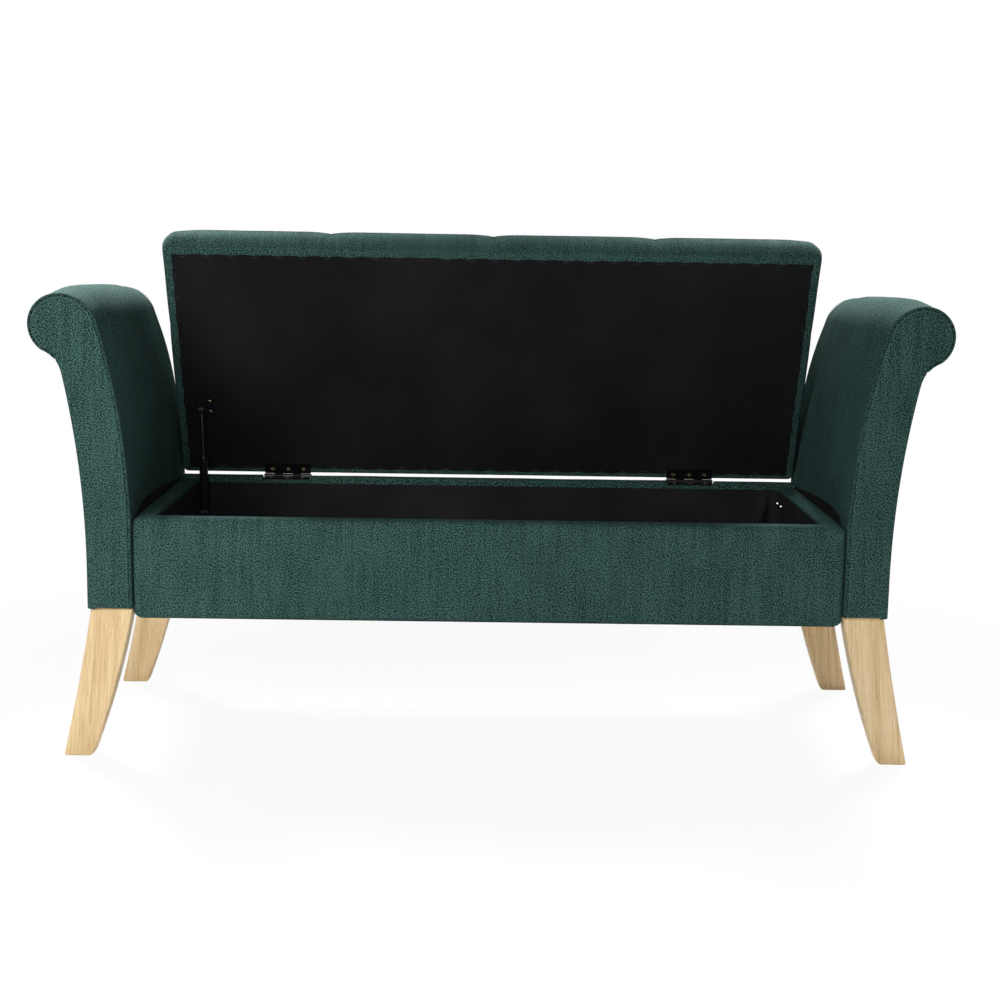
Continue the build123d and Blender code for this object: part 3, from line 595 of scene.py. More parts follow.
def stretched_noise(tree, vector, scale, detail=1.0, roughness=0.5):
    """Noise with its own scale along each axis of the map."""
    place = add(tree, "ShaderNodeMapping", {"Vector": vector, "Scale": scale}).outputs["Vector"]
    inputs = {"Vector": place, "Scale": 1.0, "Detail": detail, "Roughness": roughness}
    return add(tree, "ShaderNodeTexNoise", inputs).outputs[0]


def bump(tree, height, strength, distance):
    inputs = {"Height": height, "Strength": strength, "Distance": distance}
    return add(tree, "ShaderNodeBump", inputs).outputs["Normal"]


def weave_material(name, dark, middle, light):
    """Linen-look cloth: two sets of uneven yarns that cross, flecks and long slubs."""
    material, tree, surface = shader(name)
    cloth = add(tree, "ShaderNodeUVMap", uv_map=CLOTH_UV).outputs["UV"]
    split = add(tree, "ShaderNodeSeparateXYZ", {"Vector": cloth}).outputs
    drift = calc(tree, "MULTIPLY", stretched_noise(tree, cloth, (24, 24, 1)), YARN_DRIFT)
    across = calc(tree, "DIVIDE", calc(tree, "ADD", split["X"], drift), WARP)
    along = calc(tree, "DIVIDE", calc(tree, "SUBTRACT", split["Y"], drift), WEFT)
    wave_x, wave_y = (calc(tree, "SINE", calc(tree, "MULTIPLY", way, pi)) for way in (across, along))
    crossing = calc(tree, "MULTIPLY", wave_x, wave_y)
    over = calc(tree, "MULTIPLY_ADD", crossing, 1.2, 0.5)
    over = add(tree, "ShaderNodeClamp", {"Value": over}).outputs[0]
    warp = stretched_noise(tree, cloth, (1 / WARP, 1 / SLUB, 1), 2.0)
    weft = stretched_noise(tree, cloth, (1 / SLUB, 1 / WEFT, 1), 2.0)
    yarns = mixed(tree, over, warp, weft)
    dashes = [stretched_noise(tree, cloth, scale, 0.0) for scale in ((530, 930, 1), (930, 530, 1))]
    fleck = weighted(tree, [(dash, 0.5) for dash in dashes])
    slub = stretched_noise(tree, cloth, (160, 9, 1), 2.0)
    mottle = stretched_noise(tree, cloth, (14, 14, 1), 2.0)
    parts = [(yarns, 0.6), (fleck, 4.2), (slub, 0.44), (mottle, 0.22)]
    level = 0.5 - sum(weight for _, weight in parts) / 2
    tone = weighted(tree, [*parts, (crossing, 0.15)], level)
    ridge = mixed(tree, over, calc(tree, "ABSOLUTE", wave_x), calc(tree, "ABSOLUTE", wave_y))
    height = weighted(tree, [(ridge, 1.0), (fleck, 0.8)])
    feed(tree, surface, {
        "Base Color": ramp(tree, tone, [(0.12, dark), (0.5, middle), (0.95, light)]),
        "Normal": bump(tree, height, 0.30, 0.0005),
        "Roughness": 0.92,
        "Specular IOR Level": 0.03,
        "Sheen Weight": 0.015,
        "Sheen Roughness": 0.45,
        "Sheen Tint": (0.62, 0.85, 0.80, 1.0),
    })
    return material


def black_cloth_material(name, gain):
    """Non-woven lining: matted fibres with faint lighter patches."""
    material, tree, surface = shader(name)
    place = add(tree, "ShaderNodeTexCoord").outputs["Object"]
    patches = stretched_noise(tree, place, (7, 7, 7), 3.0)
    fibres = stretched_noise(tree, place, (900, 900, 900), 3.0, 0.65)
    shades = [
        (0.30, (0.0079, 0.0080, 0.0086)),
        (0.50, (0.0122, 0.0123, 0.0131)),
        (0.72, (0.0180, 0.0180, 0.0192)),
    ]
    stops = [(position, tuple(gain * part for part in shade)) for position, shade in shades]
    feed(tree, surface, {
        "Base Color": ramp(tree, weighted(tree, [(patches, 0.7), (fibres, 0.3)]), stops),
        "Normal": bump(tree, fibres, 0.35, 0.0004),
        "Roughness": 0.95,
        "Specular IOR Level": 0.05,
    })
    return material


def wood_material(name, dark, middle, light, gloss):
    """Straight-grained pale wood: growth bands, fine streaks and short pores along the map's length."""
    material, tree, surface = shader(name)
    grain = add(tree, "ShaderNodeUVMap", uv_map=CLOTH_UV).outputs["UV"]
    bands = stretched_noise(tree, grain, (85, 2.2, 1), 3.0, 0.55)
    streaks = stretched_noise(tree, grain, (620, 18, 1), 3.0, 0.6)
    pores = mask(tree, stretched_noise(tree, grain, (900, 110, 1), 2.0), 0.60, 0.74)
    knots = mask(tree, stretched_noise(tree, grain, (70, 28, 1)), 0.76, 0.84)
    tone = weighted(tree, [(bands, 0.48), (streaks, 0.52), (pores, -0.14), (knots, -0.16)])
    feed(tree, surface, {
        "Base Color": ramp(tree, tone, [(0.30, dark), (0.49, middle), (0.66, light)]),
        "Normal": bump(tree, calc(tree, "SUBTRACT", streaks, pores), 0.12, 0.0003),
        "Roughness": gloss,
        "Specular IOR Level": 0.35,
    })
    return material


def hard_material(name, colour, metallic, roughness, variation, specular=0.5):
    """Painted or plated metal and moulded plastic, with an uneven finish."""
    material, tree, surface = shader(name)
    place = add(tree, "ShaderNodeTexCoord").outputs["Object"]
    smudge = stretched_noise(tree, place, (60, 60, 60), 3.0)
    grit = stretched_noise(tree, place, (1400, 1400, 1400), 2.0)
    darker = tuple(part * (1 - variation) for part in colour)
    lighter = tuple(min(1.0, part * (1 + variation)) for part in colour)
    feed(tree, surface, {
        "Base Color": ramp(tree, smudge, [(0.3, darker), (0.7, lighter)]),
        "Roughness": calc(tree, "MULTIPLY_ADD", smudge, 0.25 * roughness, 0.875 * roughness),
        "Normal": bump(tree, grit, 0.06, 0.0002),
        "Metallic": metallic,
        "Specular IOR Level": specular,
    })
    return material


green = weave_material(
    "green_weave",
    dark=(0.0030, 0.0092, 0.0083),
    middle=(0.0215, 0.055, 0.049),
    light=(0.092, 0.192, 0.175),
)
# Stitch thread lighter than the cloth: partly the thread's own colour, partly a painted highlight for
# the bright line along the seam.
thread_and_seam_highlight = hard_material("green_thread", (0.085, 0.155, 0.142), 0.0, 0.8, 0.15, 0.2)
staple_metal = hard_material("staple_metal", (0.022, 0.022, 0.023), 0.0, 0.5, 0.3, 0.3)
black = black_cloth_material("black_cloth", 1.0)
# A lighter copy of the black cloth for the storage tub: painted light, standing in for light that
# reaches down into the well.
tub_black_painted_light = black_cloth_material("tub_cloth", 1.55)
leg_wood = wood_material(
    "leg_wood",
    dark=(0.49, 0.293, 0.117),
    middle=(0.77, 0.556, 0.294),
    light=(0.89, 0.735, 0.47),
    gloss=0.48,
)
board_wood = hard_material("frame_board", (0.60, 0.44, 0.27), 0.0, 0.8, 0.2, 0.2)
hinge_black = hard_material("hinge_black", (0.006, 0.006, 0.007), 0.0, 0.10, 0.25, 0.20)
# Brass darkened to a painted shade, for the screws on the lid leaf and the strut brackets. The next one
# is a lighter copy of the same brass, painted light, for the screw heads on the hinge rail.
brass = hard_material("brass_screw", (0.21, 0.17, 0.11), 1.0, 0.30, 0.25)
brass_painted_light = hard_material("screw_head", (0.66, 0.55, 0.38), 1.0, 0.22, 0.15)
bright = hard_material("bright_bolt", (0.85, 0.85, 0.86), 1.0, 0.18, 0.06)
# The bolt heads are made dark and dull: painted shade, so that only the domes on the right-hand wall
# glint.
bolt_heads_painted_shade = hard_material("bolt_head_shade", (0.012, 0.012, 0.013), 0.0, 0.7, 0.15, 0.05)
zinc = hard_material("zinc_fixing", (0.55, 0.55, 0.54), 1.0, 0.42, 0.15)
strut_paint = hard_material("strut_black", (0.008, 0.008, 0.009), 0.0, 0.38, 0.2, 0.25)
# The rod and gland are chrome made dark: painted shade, standing in for the dark well they reflect.
rod_painted_shade = hard_material("strut_rod", (0.13, 0.13, 0.135), 1.0, 0.26, 0.1)
nylon = hard_material("socket_plastic", (0.010, 0.010, 0.011), 0.0, 0.5, 0.2, 0.25)


# Arms, worked out for the right-hand end and mirrored for the left

def arm_outline():
    """The arm from the front: up the inner side, over the top, round the scroll, down the outside."""
    flare_z = RIM_Z - FLARE_DROP
    outer_x = ARM_INNER + ARM_FOOT_T
    outer_flare_z = ARM_FOOT_Z + OUTER_FLARE_RISE
    scroll_x = BENCH_HALF - SCROLL_R
    scroll_z = ARM_TOP - SCROLL_R
    reach = scroll_x - ARM_INNER
    rise = ARM_TOP - TOP_R - flare_z
    flare_r = (rise**2 + reach**2 - TOP_R**2) / (2 * (reach - TOP_R))
    lean = degrees(asin(rise / (flare_r - TOP_R)))
    lean_out = scroll_x + SCROLL_R * cos(radians(NOTCH_ANGLE)) - outer_x
    climb = scroll_z + SCROLL_R * sin(radians(NOTCH_ANGLE)) - outer_flare_z
    outer_r = (lean_out**2 + climb**2) / (2 * lean_out)
    outer_angle = degrees(atan2(climb, lean_out - outer_r))
    upper = np.vstack([
        np.linspace((ARM_INNER, ARM_FOOT_Z), (ARM_INNER, flare_z), INNER_POINTS),
        arc_points((ARM_INNER + flare_r, flare_z), flare_r, 180, 180 - lean),
        arc_points((scroll_x, ARM_TOP - TOP_R), TOP_R, 180 - lean, 90),
        arc_points((scroll_x, scroll_z), SCROLL_R, 90, NOTCH_ANGLE),
    ])
    lower = np.vstack([
        arc_points((outer_x + outer_r, outer_flare_z), outer_r, outer_angle, 180),
        np.linspace((outer_x, outer_flare_z), (outer_x, ARM_FOOT_Z), OUTER_POINTS),
    ])
    return eased_corner(without_doubles(upper), without_doubles(lower), NOTCH_EASE)


def eased_corner(before, after, ease):
    """Joins two lines with a soft curve for a corner, and says how far along its middle is."""
    first = Path(before)
    second = Path(after)
    start = np.array(first.at(first.total - ease))
    end = np.array(second.at(ease))
    kept_before = before[first.lengths < first.total - ease]
    kept_after = after[second.lengths > ease]
    shares = np.linspace(0, 1, 9)[:, None]
    curve = (1 - shares) ** 2 * start + 2 * shares * (1 - shares) * before[-1] + shares**2 * end
    line = Path(np.vstack([kept_before, curve, kept_after]))
    return line, line.lengths[len(kept_before) + len(curve) // 2]


OUTLINE, NOTCH_LENGTH = arm_outline()
TOP_INDEX = int(np.argmax(OUTLINE.points[:, 1]))
TOP_LENGTH = float(OUTLINE.lengths[TOP_INDEX])
CORNER_LENGTH = TOP_LENGTH - TOP_R * pi / 4


def length_at_height(z):
    """How far up the inner side of the arm a height is."""
    return float(np.interp(z, OUTLINE.points[:TOP_INDEX, 1], OUTLINE.lengths[:TOP_INDEX]))


def hem_height(y):
    """The lower edge of the arm's inner cover: an arch over the bare patch, steeper in front."""
    share = clamp((y - GAP_FRONT_Y) / (GAP_REAR_Y - GAP_FRONT_Y))
    return RIM_Z - GAP_DROP + GAP_RISE * sin(pi * share**GAP_SKEW) ** GAP_ROUND


def lip_columns(edge_y, inward):
    """The rolled edge beside a facing: (offset from the outline, y) from the seam to the flat."""
    columns = [(-LIP_R - tuck, edge_y + inward * GROOVE_DEPTH * share) for tuck, share in LIP_SEAM]
    for angle in np.radians(np.linspace(0, 90, 6)):
        columns.append((-LIP_R + LIP_R * sin(angle), edge_y + inward * LIP_R * (1 - cos(angle))))
    return columns


def roll_columns():
    marks = [FRONT_Y + LIP_R, GAP_FRONT_Y, GAP_REAR_Y, REAR_Y - LIP_R]
    flat = [(0.0, y) for y in spaced(marks, ROLL_STEP)[1:-1]]
    return np.array(lip_columns(FRONT_Y, 1) + flat + lip_columns(REAR_Y, -1)[::-1])


def roll_swell(length, y):
    """How far the roll stands proud: crowned behind the front seam, slack at the rear corner."""
    from_front = smooth_step((y - FRONT_Y) / CROWN_RUN)
    from_rear = smooth_step((REAR_Y - y) / (REAR_Y - FRONT_Y - CROWN_RUN))
    high_up = smooth_step((OUTLINE.at(length)[1] - RIM_Z - CROWN_LIFT) / CROWN_FADE)
    under_scroll = 1 - smooth_step((length - TOP_LENGTH) / (NOTCH_LENGTH - TOP_LENGTH))
    slack = smooth_step((y - REAR_Y + CROWN_RUN) / CROWN_RUN)
    crown = ROLL_CROWN * from_front * from_rear * high_up * under_scroll
    return crown - REAR_DIP * slack * bell((length - CORNER_LENGTH) / CROWN_FADE)


def roll_patch(columns, starts, ends, offsets):
    """A patch on the outline: a start and an end length in each column, an offset in each row."""

    def place(row, column):
        share, extra = row
        (offset, y), start, end = column
        length = start + share * (end - start)
        swell = ripple(ROLL_WAVE, length, y, 0.0) + roll_swell(length, y)
        x, z = OUTLINE.at(length, offset + extra + swell)
        return (x, y, z), (y + offset, length)

    shares = np.linspace(0, 1, len(offsets))
    return grid_patch(list(zip(shares, offsets)), list(zip(columns, starts, ends)), place)


def arm_roll_patch():
    """The inner cover over its arched hem, the strips beside the bare patch, the hem and the tuck."""
    columns = roll_columns()
    ys = columns[:, 1]
    hems = np.array([length_at_height(hem_height(y)) for y in ys])
    notch = np.full(len(ys), NOTCH_LENGTH)
    front = ys <= GAP_FRONT_Y + SAME
    rear = ys >= GAP_REAR_Y - SAME
    arch = (ys >= GAP_FRONT_Y - SAME) & (ys <= GAP_REAR_Y + SAME)
    patches = [roll_patch(columns, hems, notch, [0.0] * ROLL_ROWS)]
    for strip in (front, rear):
        patches.append(roll_patch(columns[strip], 0 * hems[strip], hems[strip], [0.0] * STRIP_ROWS))
    patches.append(roll_patch(columns[arch], hems[arch], hems[arch] + HEM_TURN, HEM_STEPS))
    patches.append(roll_patch(columns, notch, notch + TUCK_RUN, TUCK_STEPS))
    return joined(patches)


def face_loop(edge_y):
    """The closed edge of a facing, how much of it is sewn to the roll, and its inward normals."""
    swell = np.array([roll_swell(length, edge_y) for length in OUTLINE.lengths])
    outline = OUTLINE.points + OUTLINE.normals * swell[:, None]
    bottom_x = np.linspace(outline[-1][0], outline[0][0], FOOT_POINTS)[1:-1]
    bottom = np.column_stack([bottom_x, np.full(len(bottom_x), ARM_FOOT_Z)])
    loop = np.vstack([outline, bottom])
    lengths = np.concatenate([OUTLINE.lengths, np.full(len(bottom), OUTLINE.total)])
    sewn = np.array([1 - smooth_step((length - NOTCH_LENGTH) / SEAM_FADE + 0.5) for length in lengths])
    sewn *= np.array([smooth_step((z - ARM_FOOT_Z) / FOOT_FADE) for _, z in loop])
    inward = loop_normals(loop)
    return loop + inward * (SEAM_INSET * sewn)[:, None], sewn, inward


def face_depth(inset, sewn):
    """How far behind the front of a facing a point lies, by its distance from the facing's edge."""
    groove = GROOVE_DEPTH * (1 - smooth_step(inset / GROOVE_RUN))
    pillow = FACE_PILLOW * smooth_step(inset / PILLOW_RUN)
    return sewn * groove + (1 - sewn) * corner_drop(inset, FOLD_R) - pillow


def arm_face_patch(edge_y, inward):
    """A facing filled with triangles, pillowed and drawn down to its seam."""
    loop, sewn, normals = face_loop(edge_y)
    steps = [np.arange(start, end, FACE_GRID) for start, end in zip(loop.min(0), loop.max(0))]
    grid = np.stack(np.meshgrid(*steps), -1).reshape(-1, 2)
    points = np.vstack([loop + normals * inset for inset in FACE_RINGS] + [grid])
    clear = np.append(np.repeat(FACE_RINGS * RING_CLEAR, len(loop)), np.full(len(grid), GRID_CLEAR))
    points = points[corner_gaps(points, loop).min(1) > clear]
    flat = [Vector(point) for point in np.vstack([loop, points])]
    found, _, faces, *_ = delaunay_2d_cdt(flat, [], [list(range(len(loop)))], 1, 1e-7)
    placed = np.array([tuple(point) for point in found])
    nearest = corner_gaps(placed, loop).argmin(1)
    result = []
    for (x, z), inset, index in zip(placed, edge_distance(placed, loop), nearest):
        wave = ripple(FACE_WAVE, x, z, edge_y) * smooth_step(inset / FACE_WAVE_RUN)
        result.append((x, edge_y + inward * (face_depth(inset, sewn[index]) + wave), z))
    return result, [tuple(point) for point in placed], [tuple(face) for face in faces]


def corner_gaps(points, loop):
    return np.linalg.norm(points[:, None] - loop[None], axis=2)


def edge_distance(points, loop):
    """Distance from each point to a closed line."""
    nearest = np.full(len(points), np.inf)
    for start, end in zip(loop, np.roll(loop, -1, axis=0)):
        run = end - start
        share = np.clip(((points - start) @ run) / (run @ run), 0, 1)
        gap = np.linalg.norm(points - (start + share[:, None] * run), axis=1)
        nearest = np.minimum(nearest, gap)
    return nearest


def arm_outer_patch():
    """The flat cover of the arm's outer side, from under the scroll down to the foot and round it."""
    columns = [(-tuck, FRONT_Y + FOLD_R * share) for tuck, share in OUTER_EDGE]
    columns += [(0.0, y) for y in spaced([FRONT_Y + FOLD_R * 2, REAR_Y - FOLD_R * 2], ROLL_STEP)]
    columns += [(-tuck, REAR_Y - FOLD_R * share) for tuck, share in reversed(OUTER_EDGE)]
    starts = [NOTCH_LENGTH - OUTER_LAP] * len(columns)
    ends = [OUTLINE.total] * len(columns)
    offsets = [-OUTER_LAP * (1 - smooth_step(row / LAP_ROWS)) for row in range(OUTER_ROWS)]

    def hem(turn, column):
        inset, drop = turn
        offset, y = column
        x, z = OUTLINE.at(OUTLINE.total, offset)
        return (x - inset, y, z - drop), (y, OUTLINE.total + inset)

    return joined([roll_patch(columns, starts, ends, offsets), grid_patch(OUTER_HEM, columns, hem)])


def gap_patch():
    """The bare black cloth below the hem, set behind it."""
    furthest = low("right_arm_inner_board").x - PATCH_CLEAR

    def place(share, y):
        z = ARM_FOOT_Z + (hem_height(y) + HEM_LAP - ARM_FOOT_Z) * share
        x, _ = OUTLINE.at(length_at_height(z))
        return (min(x + PATCH_SETBACK, furthest), y, z), (y, z)

    rows = np.linspace(0, 1, PATCH_ROWS)
    return grid_patch(rows, spaced([GAP_FRONT_Y, GAP_REAR_Y], CLOTH_STEP), place)


def stitch_segments(edge_y, inward, side):
    """A row of stitches along the sewn edge of a facing."""
    segments = []
    y = edge_y - inward * STITCH_RISE
    for index in range(int((NOTCH_LENGTH - STITCH_STOP - STITCH_START) / STITCH_PITCH)):
        start = STITCH_START + index * STITCH_PITCH
        ends = [OUTLINE.at(length, -STITCH_INSET) for length in (start, start + STITCH_LENGTH)]
        segments.append([(side * x, y, z) for x, z in ends])
    return segments


def dress_arm(name, side):
    arm = name + "_arm_"

    def mirrored(patch):
        points, uv, faces = patch
        return [(side * x, y, z) for x, y, z in points], uv, faces

    roll = mirrored(arm_roll_patch())
    cover(arm + "roll", roll, (-side, 0, 0.6), arm + "inner_pad", sewn=True, thick=True)
    for end, edge_y, inward in (("front", FRONT_Y, 1), ("rear", REAR_Y, -1)):
        face = mirrored(arm_face_patch(edge_y, inward))
        cover(f"{arm}{end}_face", face, (0, -inward, 0), f"{arm}{end}_facing", thick=True)
        segments = stitch_segments(edge_y, inward, side)
        dress(capsules(f"{arm}{end}_stitching", segments, STITCH_R, thread_and_seam_highlight), "frame", "green_weave")
    outer = mirrored(arm_outer_patch())
    cover(arm + "outer_cover", outer, (side, 0, 0), arm + "outer_panel", sewn=True, thick=True)
    height = hem_height((GAP_FRONT_Y + GAP_REAR_Y) / 2) + HEM_LAP - ARM_FOOT_Z
    flat = (GAP_REAR_Y - GAP_FRONT_Y, height)
    patch = mirrored(gap_patch())
    base = arm + "inner_board"
    lining(arm + "gap_cloth", patch, black, (-side, 0, 0), arm + "gap_lining", flat, base)


# Box upholstery

def wrap_profile(well, face, *radii):
    """Section of a box cover: from its lip in the well, over the rim, down and under the box."""
    tuck = BOTTOM_TUCK if well > face else -BOTTOM_TUCK
    corners = np.array([
        (well, RIM_Z - LIP_DROP), (well, RIM_Z), (face, RIM_Z),
        (face, BOX_BOTTOM), (face + tuck, BOX_BOTTOM),
    ])
    line = [corners[0]]
    for previous, corner, following, radius in zip(corners, corners[1:], corners[2:], radii):
        before = (previous - corner) / np.linalg.norm(previous - corner)
        after = (following - corner) / np.linalg.norm(following - corner)
        middle = corner + (before + after) * radius
        for angle in np.radians(np.linspace(0, 90, 8)):
            line.append(middle - before * radius * sin(angle) - after * radius * cos(angle))
    line.append(corners[-1])
    return divided(without_doubles(np.array(line)), COVER_STEP)


def end_stops(start, end, radius):
    """Stations along a cover: close together at both rounded ends."""
    near = [gap for gap in END_GAPS if gap < radius] + [radius]
    return spaced([start + gap for gap in near] + [end - gap for gap in near], COVER_STEP)


def swept_cover(profile, stops, radius, place, shape):
    """A profile run along its stops, drawn in round both ends and closed there."""
    path = Path(profile)

    def swept(stop, station):
        length, (a, b), normal = station
        inset = corner_drop(min(stop - stops[0], stops[-1] - stop), radius)
        a, b = shape(stop, a, b)
        return place(stop, a - normal[0] * inset, b - normal[1] * inset), (stop, length)

    stations = list(zip(path.lengths, path.points, path.normals))
    return capped(grid_patch(stops, stations, swept), len(stations), turned=True)


def front_cover():
    """Front panel, with a slight bulge and a loose lower edge."""
    profile = wrap_profile(WELL_FRONT, BOX_FRONT, INNER_EDGE_R, FACE_EDGE_R, FACE_EDGE_R)[::-1]

    def shape(x, y, z):
        share = (z - BOX_BOTTOM) / (RIM_Z - BOX_BOTTOM)
        if y < BOX_FRONT + FACE_EDGE_R:
            y -= FACE_BULGE * sin(pi * clamp(share)) + ripple(PANEL_WAVE, x, z, 0)
        if share < BOTTOM_WAVE_SHARE:
            z += (1 - share / BOTTOM_WAVE_SHARE) * ripple(BOTTOM_WAVE, x, 0, 3)
        return y, z

    stops = end_stops(-BOX_HALF, BOX_HALF, CORNER_R)
    patch = swept_cover(profile, stops, CORNER_R, lambda x, y, z: (x, y, z), shape)
    cover("front_panel_upholstery", patch, (0, -1, 0.3), "front_panel_cover")


def side_cover(name, side):
    """End rim of the box, with its inner edge curving into the back rail."""
    bend = REAR_CORNERS[name]
    profile = wrap_profile(WELL_SIDE, BOX_HALF, INNER_EDGE_R, SIDE_EDGE_R, INNER_EDGE_R)
    start = low(name + "_rim_cover").y - RIM_LAP
    end = high(name + "_rim_cover").y + RIM_LAP

    def shape(y, x, z):
        near_back = y - (end - bend)
        if near_back > 0 and x < WELL_SIDE + RIM_DRAW and z > BOX_BOTTOM + LIP_DROP:
            draw = bend - sqrt(max(0.0, bend**2 - near_back**2))
            x -= draw * (1 - (x - WELL_SIDE) / RIM_DRAW)
        return x, z

    straight = end_stops(start, end - bend, RIM_STOP_R)[:-1]
    stops = np.concatenate([straight, np.linspace(end - bend, end, BEND_STOPS)])
    points, uv, faces = swept_cover(profile, stops, RIM_END_R, lambda y, x, z: (side * x, y, z), shape)
    patch = points, [(length, y) for y, length in uv], faces
    cover(name + "_rim_upholstery", patch, (side, 0, 1), name + "_rim_cover")


def back_cover():
    """Back rail: raised between flat places for the hinges, with a plain back."""
    profile = wrap_profile(WELL_REAR, BOX_REAR, RAIL_EDGE_R, RAIL_EDGE_R, RAIL_FOOT_R)
    hinges = [sum(corner.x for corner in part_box(name + "_hinge_rail_leaf")) / 2 for name, _ in ENDS]

    def shape(x, y, z):
        if z < BOX_BOTTOM + BOTTOM_TUCK:
            z += ripple(BOTTOM_WAVE, x, 1, 5)
        if z > RIM_Z - 2 * RAIL_EDGE_R:
            clear = min(abs(x - hinge) for hinge in hinges) - HINGE_HALF
            loose = 1 + ripple(RAIL_WAVE, x, 2, 0)
            z += RAIL_RISE * smooth_step(clear / RECESS_RUN) * loose
        return y, z

    reach = HINGE_HALF + np.linspace(0, RECESS_RUN, 4)
    beside = [hinge + side * reach for hinge in hinges for side in (-1, 1)]
    stops = np.sort(np.concatenate([end_stops(-BOX_HALF, BOX_HALF, RAIL_END_R), *beside]))
    patch = swept_cover(profile, stops, RAIL_END_R, lambda x, y, z: (x, y, z), shape)
    cover("back_rail_upholstery", patch, (0, 1, 0.3), "back_rail_cover")


# Linings

def well_loop():
    """The inside of the well from above, with soft corners."""
    x = WELL_SIDE - WELL_CORNER_R
    front = WELL_FRONT + WELL_CORNER_R
    rear = WELL_REAR - WELL_CORNER_R
    corners = [(x, rear, 0), (-x, rear, 90), (-x, front, 180), (x, front, 270)]
    line = np.vstack([
        arc_points((cx, cy), WELL_CORNER_R, turn, turn + 90, WELL_ARC_STEP) for cx, cy, turn in corners
    ])
    return divided(np.vstack([line, line[:1]]), WELL_STEP)[:-1]


def lining_fold(x, depth):
    """How far a loose fold on the rear wall stands out, at a depth below the lining's edge."""
    ridge = WELL_SIDE - FOLD_PLACE - FOLD_DRIFT * depth
    return FOLD_RISE * smooth_step(depth / FOLD_START) * bell((x - ridge) / FOLD_W)


def storage_tub():
    """The black cloth tub: loose walls with a fold beside one corner, and a floor."""
    loop = well_loop()
    top_z = RIM_Z - LINING_DROP
    height = top_z - WELL_FLOOR
    wall = [(top_z - drop, grow) for drop, grow in TUB_EDGE]
    plain = np.linspace(RIM_Z - LIP_DROP - TUB_LEAD, WELL_FLOOR + TUB_FLOOR_INSET, TUB_ROWS)
    wall += [(z, 0.0) for z in plain]
    wall += [(WELL_FLOOR + rise, grow) for rise, grow in TUB_FOOT]
    outward = loop_normals(loop)
    from_middle = loop - (0.0, (WELL_FRONT + WELL_REAR) / 2)
    outward *= np.sign((from_middle * outward).sum(1))[:, None]

    def hang(row, column):
        z, grow = row
        (x, y), normal, length = column
        slack = sin(pi * (z - WELL_FLOOR) / height) if z > WELL_FLOOR else 0.0
        wave = slack * ripple(WALL_WAVE, x, y, z * WALL_STRETCH)
        if y > WELL_REAR - FOLD_WALL:
            wave -= lining_fold(x, top_z - z)
        across, along = (x, y) + normal * (grow - TUB_CLEAR + wave)
        return (across, along, z), (length, z)

    def lie(y, x):
        return (x, y, WELL_FLOOR + ripple(FLOOR_WAVE, x, y, 0)), (x, y)

    xs = spaced([-WELL_SIDE + TUB_FLOOR_INSET, WELL_SIDE - TUB_FLOOR_INSET], TUB_FLOOR_STEP)
    ys = spaced([WELL_FRONT + TUB_FLOOR_INSET, WELL_REAR - TUB_FLOOR_INSET], TUB_FLOOR_STEP)
    walls = grid_patch(wall, list(zip(loop, outward, run_lengths(loop))), hang, closed=True)
    patch = joined([walls, grid_patch(ys, xs, lie)])
    width = 2 * WELL_SIDE
    depth = WELL_REAR - WELL_FRONT
    area = width * depth + 2 * (width + depth) * height
    flat = (width + 2 * height, depth + 2 * height)
    base = "box_bottom_board"
    # The tub takes the lightened black cloth, painted light for the well.
    lining("storage_tub_cloth", patch, tub_black_painted_light, None, "storage_lining", flat, base, area=area)


def bottom_cloth():
    """Black cloth stapled under the box."""
    near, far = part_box("bottom_dust_cover")

    def place(y, x):
        edge = min(x - near.x, far.x - x, y - near.y, far.y - y)
        sag = smooth_step(edge / BOTTOM_SAG_RUN) * (BOTTOM_SAG[0] + ripple(BOTTOM_SAG, x, y, 0))
        return (x, y, near.z - sag), (x, y)

    patch = grid_patch(spaced([near.y, far.y], CLOTH_STEP), spaced([near.x, far.x], CLOTH_STEP), place)
    flat = (far.x - near.x, far.y - near.y)
    base = "front_panel_upholstery"
    lining("bottom_cloth", patch, black, (0, 0, -1), "bottom_dust_cover", flat, base)
    staple_rows("bottom_staples", "frame", near, far, 0.0004)


def lid_cloth():
    """Black cloth under the lid, its edge pulled in between the staples."""
    near, far = closed_box("lid_dust_cover")
    mid = (near + far) / 2
    half = (far - near) / 2

    def pull(along, x, y, seed):
        return SCALLOP * (sin(pi * along / STAPLE_PITCH) ** 2 + ripple(SCALLOP_NOISE, x, y, seed))

    def place(y, x):
        edge = min(half.x - abs(x - mid.x), half.y - abs(y - mid.y))
        slack = smooth_step(edge / LID_SLACK_RUN) * ripple(LID_SLACK, x, y, 7)
        place_x = mid.x + (x - mid.x) * (1 - pull(y - near.y, x, y, 0) / half.x)
        place_y = mid.y + (y - mid.y) * (1 - pull(x - near.x, x, y, 4) / half.y)
        return (place_x, place_y, near.z + LID_CLOTH_GAP + slack), (x, y)

    step = STAPLE_PITCH / 6
    patch = grid_patch(spaced([near.y, far.y], step), spaced([near.x, far.x], step), place)
    flat = (2 * half.x, 2 * half.y)
    base = "seat_upholstery"
    lining("lid_under_cloth", patch, black, (0, 0, -1), "lid_dust_cover", flat, base, "lid")
    staple_rows("lid_staples", "lid", near, far, 0.0001)


